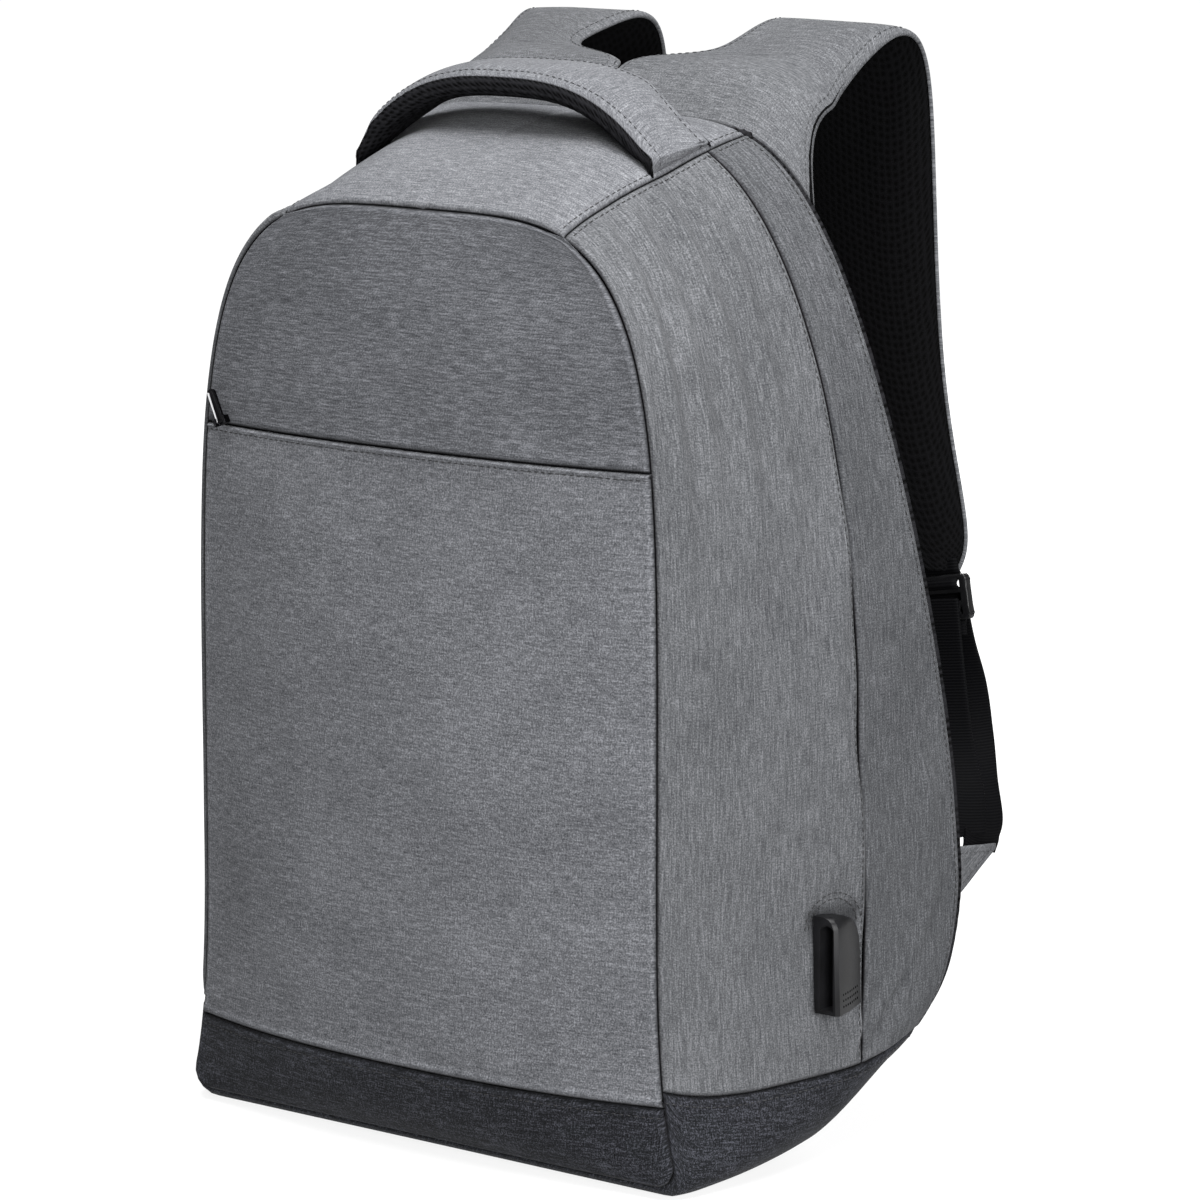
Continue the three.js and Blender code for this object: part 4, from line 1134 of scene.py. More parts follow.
@dataclass
class Shell:
    """The bag's body as cloth panels that meet at rolled seams."""

    form: BodyForm
    palette: Palette
    stitches: Stitching
    step: float = 3.2
    wall: float = 2.4
    base_wall: float = 3.0
    lining_inset: float = 4.6
    lining_wall: float = 0.4
    middle_back: float = 15.0
    # The side's upright ridges: depth share, half width in depth and height.
    ribs: tuple = ((0.15, 0.042, 3.6), (0.33, 0.05, 3.0), (0.54, 0.045, 3.6), (0.73, 0.045, 2.7))

    def sheet(self, points: np.ndarray) -> Lattice:
        """A lattice of the bag's body, which faces away from its middle."""
        return Lattice(points, points - np.array((0.0, self.middle_back, self.form.belly_height)))

    def panel(self, stretch: Stretch, shares: np.ndarray, depths: Line) -> Lattice:
        """A panel of one stretch of cloth.

        Args:
            stretch: which stretch.
            shares: shares along it, which may be negative for the left side.
            depths: depth shares for each of them.

        Returns:
            The panel's lattice.
        """
        return self.sheet(np.array([
            [self.form.cloth(stretch, share, depth, -1 if share < 0 else 1) for depth in depths(share)]
            for share in shares
        ]))

    def seam(self, share: float) -> float:
        """Depth share of the upright side seam at a share of the way up the side."""
        return self.form.side_seam(abs(share))

    def build(self) -> None:
        """Makes the lining, the base, the sides and the top."""
        self.lining()
        self.base()
        for side in Side:
            self.side_fore(side)
            self.side_rear(side)
        self.top()

    def lining(self) -> None:
        """Makes the dark lining inside the walls, which backs every seam: a real lining whose dark colour also
        stands as painted shade in the gaps at the seams.
        """
        depths = np.linspace(0.0, 1.0, 36)
        stops = [(Stretch.BASE, share) for share in np.linspace(0.0, 1.0, 24)]
        stops += [(Stretch.SIDE, share) for share in np.linspace(0.0, 1.0, 50)]
        stops += [(Stretch.TOP, share) for share in np.linspace(1.0, 0.0, 16)]
        around = [(-1, *stop) for stop in stops[:0:-1]] + [(1, *stop) for stop in stops]
        points = np.array([
            [self.form.cloth(stretch, share, depth, sign) for depth in depths]
            for sign, stretch, share in around
        ])
        points[:, 0, 1] -= 1.0
        points[:, -1, 1] += 0.4
        sheet = self.sheet(points)
        sheet.push(np.full(points.shape[:2], -self.lining_inset))
        sheet.build("inner_lining", self.palette.base_cloth, self.lining_wall, "charcoal_cloth")

    @staticmethod
    def crease(
        sheet: Lattice, y: float, z: float, length: float, lean: float, height: float, wide: float,
    ) -> None:
        """Raises a soft crease in a side panel, with a furrow behind it.

        Args:
            sheet: the panel.
            y: how far back its middle is.
            z: height of its middle.
            length: half its length.
            lean: how far back it goes for each millimetre up.
            height: how high it stands.
            wide: half its width.
        """
        rise = sheet.points[..., 2] - z
        line = sheet.points[..., 1] - y - lean * rise
        run = np.exp(-2.0 * (rise / length) ** 2)
        sheet.push(height * run * np.exp(-((line / wide) ** 2)))
        sheet.push(-0.7 * height * run * np.exp(-(((line - 1.5 * wide) / wide) ** 2)))

    def base(self) -> None:
        """Makes the charcoal base, which lies flat and climbs to its band seam."""
        width = self.form.section(120)["band"]
        half = spaced(width, self.step * 1.3, (False, True))
        shares = np.concatenate((-half[:0:-1], half))
        depths = spaced(150.0, self.step * 1.3)
        sheet = self.panel(Stretch.BASE, shares, lambda share: depths)
        sheet.seam_edges(Edge, 1.3, 0.2)
        for edge in (Edge.START_U, Edge.END_U):
            sheet.push(-0.35 * groove(sheet.off(edge), 1.8, 0.7))
        height = sheet.points[..., 2]
        sheet.push(0.5 * wobble(sheet.points, 38.0, 3.0) * smooth01((height - 4) / 14))
        sheet.points[..., 2] = np.maximum(sheet.points[..., 2], 0.0)
        for edge in (Edge.START_U, Edge.END_U):
            self.stitches.add(*sheet.track(edge, 4.2))
        sheet.build("base_cloth", self.palette.base_cloth, self.base_wall, "charcoal_cloth", "base_tray")

    def side_fore(self, side: Side) -> None:
        """Makes the side panel before the upright seam.

        Args:
            side: which side of the bag.
        """
        shares = side.value * np.maximum(spaced(395.0, self.step), 1e-6)
        places = spaced(130.0, self.step)
        sheet = self.panel(Stretch.SIDE, shares, lambda share: places * (self.seam(share) - 0.002))
        share = np.abs(shares)[:, None] * np.ones_like(sheet.u)
        depth = places[None, :] * np.ones_like(sheet.u)
        ends = sheet.within(12, 10)
        inside = sheet.within(12, 10, 14, 14)
        # Soft upright ridges where the upper cloth hangs from the shoulder seam.
        ribs = np.zeros_like(depth)
        for place, width, height in self.ribs:
            ribs += height * groove(depth - 0.10 * (share - 0.8), place, width)
        fade = smooth01((share - 0.5) / 0.3) * smooth01((1.02 - share) / 0.06)
        sheet.push((ribs - 0.8) * fade * inside)
        sheet.push(1.3 * wobble(sheet.points, 46.0, 11.0 * side.value) * inside)
        sheet.push(0.45 * wobble(sheet.points, 17.0, 23.0 * side.value) * inside)
        if side is Side.RIGHT:
            self.port_dent(sheet)
        else:
            sheet.push(1.7 * groove(sheet.off(Edge.START_V), 5.0, 4.0) * ends)
        sheet.seam_edges(Edge, 1.2, 0.4)
        sheet.furrow(Edge.END_V, 2.4, 0.3)
        sheet.furrow(Edge.START_U, 2.6, 0.3)
        sheet.furrow(Edge.END_U, 3.0, 0.4)
        self.stitches.add(*sheet.track(Edge.END_V, 2.4))
        self.stitches.add(*sheet.track(Edge.END_U, 3.0))
        if side is Side.RIGHT:
            self.port_arch(sheet)
        solid = f"side_panel_{side.word}"
        sheet.build(f"side_cloth_{side.word}", self.palette.side_cloth, self.wall, "grey_cloth", solid)

    def port_dent(self, sheet: Lattice) -> None:
        """Draws the side cloth in round the charging port, where it is sewn to it, and paints shade round the
        port.

        Args:
            sheet: the side panel.
        """
        y, z = sheet.points[..., 1], sheet.points[..., 2]
        across = (y - PORT_FRONT - PORT_LENGTH / 2) / (PORT_LENGTH / 2 + 5)
        up = (z - PORT_LOW - PORT_HEIGHT / 2) / (PORT_HEIGHT / 2 + 5)
        ring = np.sqrt(across**2 + up**2)
        sheet.push(-0.9 * np.exp(-(((ring - 1.0) / 0.22) ** 2)))
        self.crease(sheet, 26.0, 148.0, 62.0, -0.25, 2.2, 6.0)
        self.crease(sheet, 26.0, 262.0, 60.0, 0.2, 1.6, 6.0)
        self.crease(sheet, 27.0, 56.0, 12.0, 0.45, 1.1, 2.2)
        # Painted shade round the port: a dark ring about 1 mm wide where the cloth meets the housing, wider over
        # the port's top, where the cloth's lip shades it.
        beyond_y = np.maximum(np.abs(y - PORT_FRONT - PORT_LENGTH / 2) - PORT_LENGTH / 2, 0.0)
        beyond_z = np.maximum(np.abs(z - PORT_LOW - PORT_HEIGHT / 2) - PORT_HEIGHT / 2, 0.0)
        beyond = np.hypot(beyond_y, beyond_z)
        above = smooth01((z - PORT_LOW - PORT_HEIGHT * 0.7) / 14.0)
        sheet.painted_shade = np.maximum(sheet.painted_shade, 0.65 * np.exp(-((beyond / (0.8 + 1.0 * above)) ** 2)))

    def port_arch(self, sheet: Lattice) -> None:
        """Sews the two arches of stitches that hold the cloth over the port."""
        flat = sheet.points.reshape(-1, 3)
        normals = sheet.normals().reshape(-1, 3)
        for reach, rise in ((PORT_LENGTH / 2 + 0.8, 12.0), (PORT_LENGTH / 2 + 3.2, 14.6)):
            spots, facing = [], []
            for angle in np.linspace(math.pi, 0.0, 41):
                y = PORT_FRONT + PORT_LENGTH / 2 + reach * math.cos(angle)
                z = PORT_LOW + PORT_HEIGHT - 7.0 + rise * math.sin(angle)
                gap = (flat[:, 1] - y) ** 2 + (flat[:, 2] - z) ** 2
                near = np.argsort(gap)[:4]
                weight = 1 / (gap[near] + 0.05)
                weight /= weight.sum()
                spots.append((float((flat[near, 0] * weight).sum()), y, z))
                facing.append((normals[near] * weight[:, None]).sum(axis=0))
            self.stitches.add(np.array(spots), np.array(facing), 0.25)

    def side_rear(self, side: Side) -> None:
        """Makes the side panel behind the upright seam.

        Args:
            side: which side of the bag.
        """
        shares = side.value * np.maximum(spaced(430.0, self.step), 1e-6)
        places = spaced(58.0, self.step)

        def depths(share: float) -> np.ndarray:
            """Depth shares from the upright seam to the back seam."""
            start = self.seam(share) + 0.002
            return start + (0.996 - start) * places

        sheet = self.panel(Stretch.SIDE, shares, depths)
        inside = sheet.within(12, 10, 12, 12)
        sheet.push(1.2 * wobble(sheet.points, 36.0, 31.0 * side.value) * inside)
        sheet.push(0.4 * wobble(sheet.points, 15.0, 37.0 * side.value) * inside)
        for crease in ((46.0, 68.0, 22.0, 0.9, 1.5, 3.0), (70.0, 92.0, 26.0, 0.5, 1.1, 3.5),
                       (72.0, 150.0, 40.0, -0.2, 1.2, 4.5)):
            self.crease(sheet, *crease)
        sheet.seam_edges(Edge, 1.2, 0.4)
        sheet.furrow(Edge.END_U, 3.0, 0.4)
        self.stitches.add(*sheet.track(Edge.END_U, 3.0))
        self.stitches.add(*sheet.track(Edge.END_V, 3.6))
        name = f"side_rear_cloth_{side.word}"
        sheet.build(name, self.palette.shaded_rear_cloth, self.wall, "grey_cloth", f"side_rear_{side.word}")

    def top(self) -> None:
        """Makes the top panel between the shoulder seams, which sags a little on the left."""
        half = spaced(90.0, self.step, (False, True))
        shares = np.concatenate((-half[:0:-1], half))
        places = spaced(150.0, self.step)
        sheet = self.panel(Stretch.TOP, shares, lambda share: 0.002 + 0.994 * places)
        sheet.push(1.2 * wobble(sheet.points, 40.0, 5.0) * sheet.within(8, 8, 12, 12))
        sheet.seam_edges(Edge, 1.2, 0.4)
        for edge in (Edge.START_U, Edge.END_U):
            sheet.furrow(edge, 2.8, 0.4)
            self.stitches.add(*sheet.track(edge, 2.8))
        middle = np.abs(shares)[:, None] * 90.0 * np.ones_like(sheet.u)
        sheet.push(-0.8 * groove(middle, 0.0, 1.3))
        sheet.build("lit_top_cloth", self.palette.lit_top_cloth, self.wall, "grey_cloth", "top_panel", False)


@dataclass
class Front:
    """The padded front: base band, pocket with its folded hem, zip and upper panel."""

    form: BodyForm
    palette: Palette
    stitches: Stitching
    band_height: float = 39.5
    hem_height: float = 305.5
    zip_width: float = 4.0
    zip_gap: float = 0.8
    left_tuck: float = 1.6
    step: float = 3.0

    def edge_point(self, length: float, sign: int) -> np.ndarray:
        """A point of the front's outline, drawn in by the clearance, and a little more on the left."""
        x, z = self.form.along(0, length)
        scale = 1 - self.form.gap / self.form.front_half
        tuck = 0.0 if sign > 0 else self.left_tuck * float(smooth01(x / 90))
        height = self.form.belly_height + (z - self.form.belly_height) * scale
        return np.array((sign * (x * scale - tuck), 0.0, height))

    def run(self, start: float, end: float, sign: int) -> Line:
        """An edge along one side of the outline."""
        return lambda share: self.edge_point(mix(start, end, share), sign)

    def across(self, start: float, middle: float) -> Line:
        """An edge that runs over the middle from one side to the other."""

        def edge(share: float) -> np.ndarray:
            """The edge's point at a share of its run."""
            sign = -1 if share < 0.5 else 1
            return self.edge_point(mix(start, middle, 1 - abs(2 * share - 1)), sign)

        return edge

    def level(self, height: float) -> Line:
        """A straight edge at a height."""
        length = self.form.length_at_height(0, height)
        left, right = self.edge_point(length, -1), self.edge_point(length, 1)
        return lambda share: left * (1 - share) + right * share

    @staticmethod
    def patch(low: Line, high: Line, left: Line, right: Line) -> Face:
        """A smooth face between four edges that meet at their ends."""

        def face(s: float, t: float) -> np.ndarray:
            """The face's point at two shares."""
            point = low(s) * (1 - t) + high(s) * t + left(t) * (1 - s) + right(t) * s
            point = point - low(0) * (1 - s) * (1 - t) - low(1) * s * (1 - t)
            return point - high(0) * (1 - s) * t - high(1) * s * t

        return face

    def puff(self, height: float, s: float) -> float:
        """How far the front cloth lies in front of the seam plane."""
        rise = self.form.front_rise(height / self.form.front_top)
        return self.form.front_puff * rise * (1 - abs(2 * s - 1) ** 2.4)

    def sheet(self, face: Face, columns: np.ndarray, rows: np.ndarray, recess: float = 0.0) -> Lattice:
        """A panel of the front on its padded curve.

        Args:
            face: the flat face.
            columns: shares across.
            rows: shares up.
            recess: how far it lies behind the cloth.

        Returns:
            The lattice, columns first.
        """
        front = -self.form.front_reach - self.form.gap - self.form.edge_wall
        lines = []
        for s in columns:
            line = []
            for t in rows:
                x, _, z = face(s, t)
                line.append((x, front - self.puff(z, s) + recess, z))
            lines.append(line)
        points = np.array(lines)
        return Lattice(points, np.zeros_like(points) + np.array((0.0, -1.0, 0.0)), plain=True)

    def build(self) -> None:
        """Makes the four panels of the front."""
        form = self.form
        floor = form.corner_length(0)
        band = self.band_height
        hem = self.hem_height
        rise = form.length_at_height
        low = self.patch(
            self.across(floor, 0), self.level(band - 0.2),
            self.run(floor, rise(0, band - 0.2), -1), self.run(floor, rise(0, band - 0.2), 1),
        )
        self.base_band(low)
        pocket = self.patch(
            self.level(band + 0.2), self.level(hem),
            self.run(rise(0, band + 0.2), rise(0, hem), -1), self.run(rise(0, band + 0.2), rise(0, hem), 1),
        )
        self.pocket(pocket)
        start = hem + self.zip_gap
        shoulder = form.section(0)["shoulder"]
        upper = self.patch(
            self.level(start), self.across(shoulder, form.section(0)["end"]),
            self.run(rise(0, start), shoulder, -1), self.run(rise(0, start), shoulder, 1),
        )
        self.upper(upper)
        self.zip()

    def base_band(self, face: Face) -> None:
        """Makes the charcoal band along the foot of the front."""
        sheet = self.sheet(face, spaced(252.0, self.step), spaced(37.0, self.step * 0.8))
        sheet.push(0.7 * wobble(sheet.points, 30.0, 2.0) * sheet.within(10, 10, 10))
        sheet.seam_edges((Edge.START_U, Edge.END_U, Edge.START_V), 1.6, 0.4)
        sheet.seam_edges((Edge.END_V,), 1.8, 0.5)
        sheet.furrow(Edge.END_V, 3.8, 0.3)
        self.stitches.add(*sheet.track(Edge.END_V, 3.9))
        sheet.build(
            "front_base_cloth", self.palette.base_cloth, 2.6, "charcoal_cloth", "front_base_band", turned=False,
        )

    def pocket(self, face: Face) -> None:
        """Makes the big pocket panel, its top edge a rounded fold over the zip."""
        sheet = self.sheet(face, spaced(252.0, self.step), spaced(266.0, self.step))
        inside = sheet.within(16, 16, 14, 12)
        sheet.push(1.5 * wobble(sheet.points, 62.0, 7.0) * inside)
        sheet.push(0.35 * wobble(sheet.points, 20.0, 9.0) * inside)
        # Short puckers rise from the band seam at its corners.
        foot = np.exp(-sheet.off(Edge.START_V) / 16.0) * smooth01(sheet.off(Edge.START_V) / 4.0)
        sheet.push(0.9 * foot * wobble(sheet.points * np.array((1, 0, 0.25)), 11.0, 13.0))
        sheet.seam_edges((Edge.START_U, Edge.END_U), 1.3, 0.3)
        sheet.seam_edges((Edge.START_V,), 1.6, 0.6)
        sheet.furrow(Edge.START_V, 4.6, 0.25)
        sheet.furrow(Edge.END_V, 2.7, 0.3)
        end = sheet.off(Edge.END_V)
        sheet.push(0.7 * np.exp(-(((end - 1.1) / 0.9) ** 2)) - 1.5 * np.exp(-((end / 0.5) ** 2)))
        self.stitches.add(*sheet.track(Edge.END_V, 2.7))
        sheet.build(
            "pocket_cloth", self.palette.front_cloth, 2.6, "grey_cloth", "front_pocket_panel", turned=False,
        )

    def upper(self, face: Face) -> None:
        """Makes the panel above the zip, with a covered edge over the zip tape."""
        sheet = self.sheet(face, spaced(246.0, self.step), spaced(94.0, self.step))
        sheet.push(1.3 * wobble(sheet.points, 48.0, 17.0) * sheet.within(14, 14, 12, 14))
        sheet.seam_edges((Edge.START_U, Edge.END_U, Edge.END_V), 1.3, 0.3)
        sheet.seam_edges((Edge.START_V,), 1.0, 0.25)
        sheet.build(
            "front_upper_cloth", self.palette.shaded_upper_cloth, 2.6, "grey_cloth", "front_upper_panel", turned=False,
        )

    def zip(self) -> None:
        """Makes the zip: two woven tapes and the coil between them."""
        form = self.form
        low, high = self.hem_height - 2.5, self.hem_height + self.zip_width + 2.5
        rise = form.length_at_height
        face = self.patch(
            self.level(low), self.level(high),
            self.run(rise(0, low), rise(0, high), -1), self.run(rise(0, low), rise(0, high), 1),
        )
        sheet = self.sheet(face, np.linspace(0.004, 0.996, 90), np.linspace(0, 1, 8), 2.6)
        sheet.build("zip_tape", self.palette.zip_tape, 0.7, "zip_tape", "pocket_zip")
        self.coil(sheet)

    def coil(self, tape: Lattice) -> None:
        """Lays the zip's coil teeth along the middle of the tape.

        Args:
            tape: the tape's lattice.
        """
        middle = tape.points[:, 3:5].mean(axis=1)
        lengths = np.concatenate(((0.0,), np.cumsum(np.linalg.norm(np.diff(middle, axis=0), axis=1))))
        mesh = bmesh.new()
        pitch = 1.5
        for k in range(int(lengths[-1] / pitch)):
            place = (k + 0.5) * pitch
            x, y, z = (float(np.interp(place, lengths, middle[:, axis])) for axis in range(3))
            placed = Matrix.Translation(Vector((x, y - 0.5, z)) * MM) @ Matrix.Rotation(0.35, 4, "Y")
            placed = placed @ Matrix.Diagonal((0.55 * MM, 0.6 * MM, 1.7 * MM, 1.0))
            bmesh.ops.create_icosphere(mesh, subdivisions=1, radius=1.0, matrix=placed)
        finish_mesh("zip_coil", mesh, self.palette.plastic)


@dataclass
class Back:
    """The back panel: air mesh over foam, sewn in channels, with a bound edge."""

    form: BodyForm
    palette: Palette
    puff: float = 3.0

    def build(self) -> None:
        """Makes the padded back."""
        form = self.form
        floor = form.corner_length(form.levels)
        section = form.section(form.levels)
        scale = 1 - form.gap / form.front_half

        def edge(length: float, sign: int) -> np.ndarray:
            """A point of the back's outline."""
            x, z = form.along(form.levels, length)
            return np.array((sign * x * scale, 0.0, form.belly_height + (z - form.belly_height) * scale))

        def across(start: float, middle: float) -> Line:
            """An edge over the middle."""
            return lambda s: edge(mix(start, middle, 1 - abs(2 * s - 1)), -1 if s < 0.5 else 1)

        def run(sign: int) -> Line:
            """An edge up one side."""
            return lambda t: edge(mix(floor, section["shoulder"], t), sign)

        face = Front.patch(
            across(floor, 0), across(section["shoulder"], section["end"]), run(-1), run(1),
        )
        lines = []
        columns, rows = spaced(300.0, 3.2), spaced(430.0, 3.2)
        for s in columns:
            line = []
            for t in rows:
                x, _, z = face(s, t)
                seat = form.back_surface(z, abs(x) / form.back_half) + 2 * form.gap
                middle = (1 - abs(2 * s - 1) ** 4) * min(1.0, 6 * t, 6 * (1 - t))
                line.append((x, seat + form.edge_wall + self.puff * middle, z))
            lines.append(line)
        points = np.array(lines)
        foot = np.exp(-np.maximum(points[..., 2] - 30.0, 0.0) / 12.0)
        points[..., 2] += 2.4 * foot
        points[..., 0] *= 1 - 0.014 * foot
        sheet = Lattice(points, np.zeros_like(points) + np.array((0.0, 1.0, 0.0)), plain=True)
        x, z = points[..., 0], points[..., 2]
        raised = smooth01((np.minimum(sheet.off(Edge.START_U), sheet.off(Edge.END_U)) - 9) / 10)
        raised = raised * smooth01((np.minimum(sheet.off(Edge.START_V), sheet.off(Edge.END_V)) - 9) / 10)
        spine = np.exp(-((x / 12.0) ** 2))
        level = np.zeros_like(x)
        for height in (112.0, 205.0, 298.0):
            level += np.exp(-(((z - height - 0.0009 * x**2) / 5.0) ** 2))
        sheet.push(raised * (3.6 - 3.4 * np.minimum(spine + level, 1.0)))
        self.mesh_cells(sheet)
        sheet.seam_edges((Edge.START_U, Edge.END_U, Edge.START_V, Edge.END_V), 1.2, 0.6)
        piece = sheet.build("back_mesh", self.palette.back_mesh, 3.0, "air_mesh", "back_panel", turned=False)

    @staticmethod
    def mesh_cells(sheet: Lattice) -> None:
        """Sinks the knitted mesh's cells a little into the foam."""
        u, v = sheet.u, sheet.v
        cells = np.cos(u * 2 * math.pi / 6.4) * np.cos(v * 2 * math.pi / 6.4)
        sheet.push(-0.25 * np.maximum(cells, 0.0))


@dataclass
class Handle:
    """The haul handle: a grey strip over a padded black mesh roll, from shoulder seam to shoulder seam."""

    form: BodyForm
    palette: Palette
    stitches: Stitching
    half: float = 80.0
    arch: float = 28.0
    width: float = 37.0
    pad: float = 10.5
    end_pad: float = 3.2
    end_depth: float = 6.8
    crown: float = 2.0
    cover: float = 1.5
    reach: float = 9.5
    tilt: float = 6.0
    taper: float = 0.35
    bow: float = 3.0

    def __post_init__(self) -> None:
        """Finds where the handle's ends sit on the top."""
        front = self.form.top_point(self.half, -self.reach - self.width / 2).z
        rear = self.form.top_point(self.half, -self.reach + self.width / 2).z
        self.foot = (front + rear) / 2 + self.end_pad + 3 * self.form.gap
        self.end_tilt = math.atan((rear - front) / self.width)

    def place(self, t: float) -> tuple[np.ndarray, np.ndarray, np.ndarray, float]:
        """The handle's centre, its two directions and its pad's depth at a share of its run."""
        x = self.half * (2 * t - 1)
        share = abs(2 * t - 1)
        z = self.foot + self.arch * (1 - share**self.bow)
        slope = -self.arch * self.bow * share ** (self.bow - 1) * math.copysign(1, 2 * t - 1) / self.half
        up = np.array((-slope, 0.0, 1.0)) / math.hypot(slope, 1)
        full = clamp01((1 - share) / self.taper)
        depth = mix(self.end_depth, self.pad, full * (2 - full))
        turn = mix(math.radians(self.tilt), self.end_tilt, share**2)
        across = np.array((0.0, math.cos(turn), math.sin(turn)))
        return np.array((x, -self.reach, z)), across, up, depth

    def build(self) -> None:
        """Makes the cover strip and the padded roll under it."""
        self.strip()
        self.roll()

    def settle(self, point: np.ndarray, t: float, height: float) -> np.ndarray:
        """Brings a point near an end down to the top cloth, where the handle runs into its seam.

        The rear edge lies flat on the cloth, and the front edge keeps its roll to the very end.

        Args:
            point: a point of the handle.
            t: share of its run.
            height: 0 for the roll's underside and 1 for the strip on it.

        Returns:
            The settled point.
        """
        share = abs(2 * t - 1)
        rear = clamp01((point[1] + self.reach + self.width / 2) / self.width)
        start = mix(0.9, 0.6, rear)
        near = float(smooth01((share - start) / (1 - start)))
        if near == 0:
            return point
        form = self.form
        depth = form.top_depth(1.0, point[1])
        seam = mix(form.shoulder_front, form.shoulder_back, depth) - 0.3
        side = math.copysign(1, point[0])
        x = min(abs(point[0]) * mix(1, seam / self.half, near), seam)
        seat = form.top_point(x, point[1]).z - form.sag(side * x, form.front_top, depth)
        tuck = 1 - float(smooth01((share - 0.985) / 0.015))
        over = 0.2 + (1.5 + 6.4 * (1 - rear)) * tuck * height
        return np.array((side * x, point[1], mix(point[2], seat + over, near)))

    def strip(self) -> None:
        """Makes the grey strip, its long edges turned down over the roll."""
        rows = spaced(190.0, 2.6)
        sides = np.concatenate((
            (-1.0, -0.985, -0.955, -0.92, -0.88, -0.82), np.linspace(-0.75, 0.75, 15),
            (0.82, 0.88, 0.92, 0.955, 0.985, 1.0),
        ))
        lines = []
        for t in rows:
            centre, across, up, _ = self.place(t)
            line = []
            for side in sides:
                lift = self.crown * (1 - side * side) + self.form.gap + self.cover
                drop = 1.4 * max(0.0, (abs(side) - 0.9) / 0.1) ** 2
                point = centre + across * side * (self.width / 2 - 0.4) + up * (lift - drop)
                line.append(self.settle(point, t, 1.0))
            lines.append(line)
        sheet = Lattice(np.array(lines), np.zeros((len(rows), len(sides), 3)) + np.array((0.0, 0.0, 1.0)))
        inner = smooth01(np.minimum(sheet.off(Edge.START_U), sheet.off(Edge.END_U)) / 10)
        sheet.push(0.35 * wobble(sheet.points, 24.0, 41.0) * inner)
        sheet.push(-2.4 * (1 - smooth01(np.minimum(sheet.off(Edge.START_U), sheet.off(Edge.END_U)) / 3.4)))
        for edge in (Edge.START_V, Edge.END_V):
            self.stitches.add(*sheet.track(edge, 4.6))
            sheet.furrow(edge, 4.6, 0.25)
        sheet.build("handle_strip", self.palette.lit_top_cloth, self.cover, "grey_cloth", "handle_cover")

    def roll(self) -> None:
        """Makes the roll of dimpled mesh under the strip."""
        rows = np.linspace(0.0, 1.0, 110)
        turns = np.linspace(0.0, 1.0, 48)
        lines = []
        for t in rows:
            centre, across, up, depth = self.place(t)
            line = []
            for turn in turns:
                angle = math.pi * (1 + turn)
                side = (self.width / 2 + 0.3 + 1.1 * abs(math.sin(angle * 2))) * math.cos(angle)
                low = depth * abs(math.sin(angle)) ** 0.45
                point = centre + across * side - up * (low - 0.5)
                line.append(self.settle(point, t, 0.85 * (1 - low / depth)))
            lines.append(line)
        points = np.array(lines)
        inside = points.mean(axis=1) + np.array((0.0, 0.0, 2.0))
        sheet = Lattice(points, points - inside[:, None, :])
        dimple(sheet, 3.8, 0.9)
        piece = sheet.build("handle_mesh", self.palette.handle_mesh, 0.9, "air_mesh", "handle_pad", turned=False)


def dimple(sheet: Lattice, pitch: float, deep: float) -> None:
    """Presses rows of small dimples into a sheet, as the cells of a spacer mesh do.

    Args:
        sheet: the sheet.
        pitch: distance between rows in millimetres.
        deep: depth of a dimple.
    """
    u = sheet.u * 2 * math.pi / pitch / 1.2
    v = sheet.v * 2 * math.pi / pitch / 1.2
    sheet.push(-deep * np.maximum(np.cos(u) * np.cos(v), 0.0))


@dataclass
class StrapRow:
    """One row of a shoulder strap's route, as shares of the strap's sizes."""

    back: float
    rise: float
    fall: float
    across: float
    wide: float


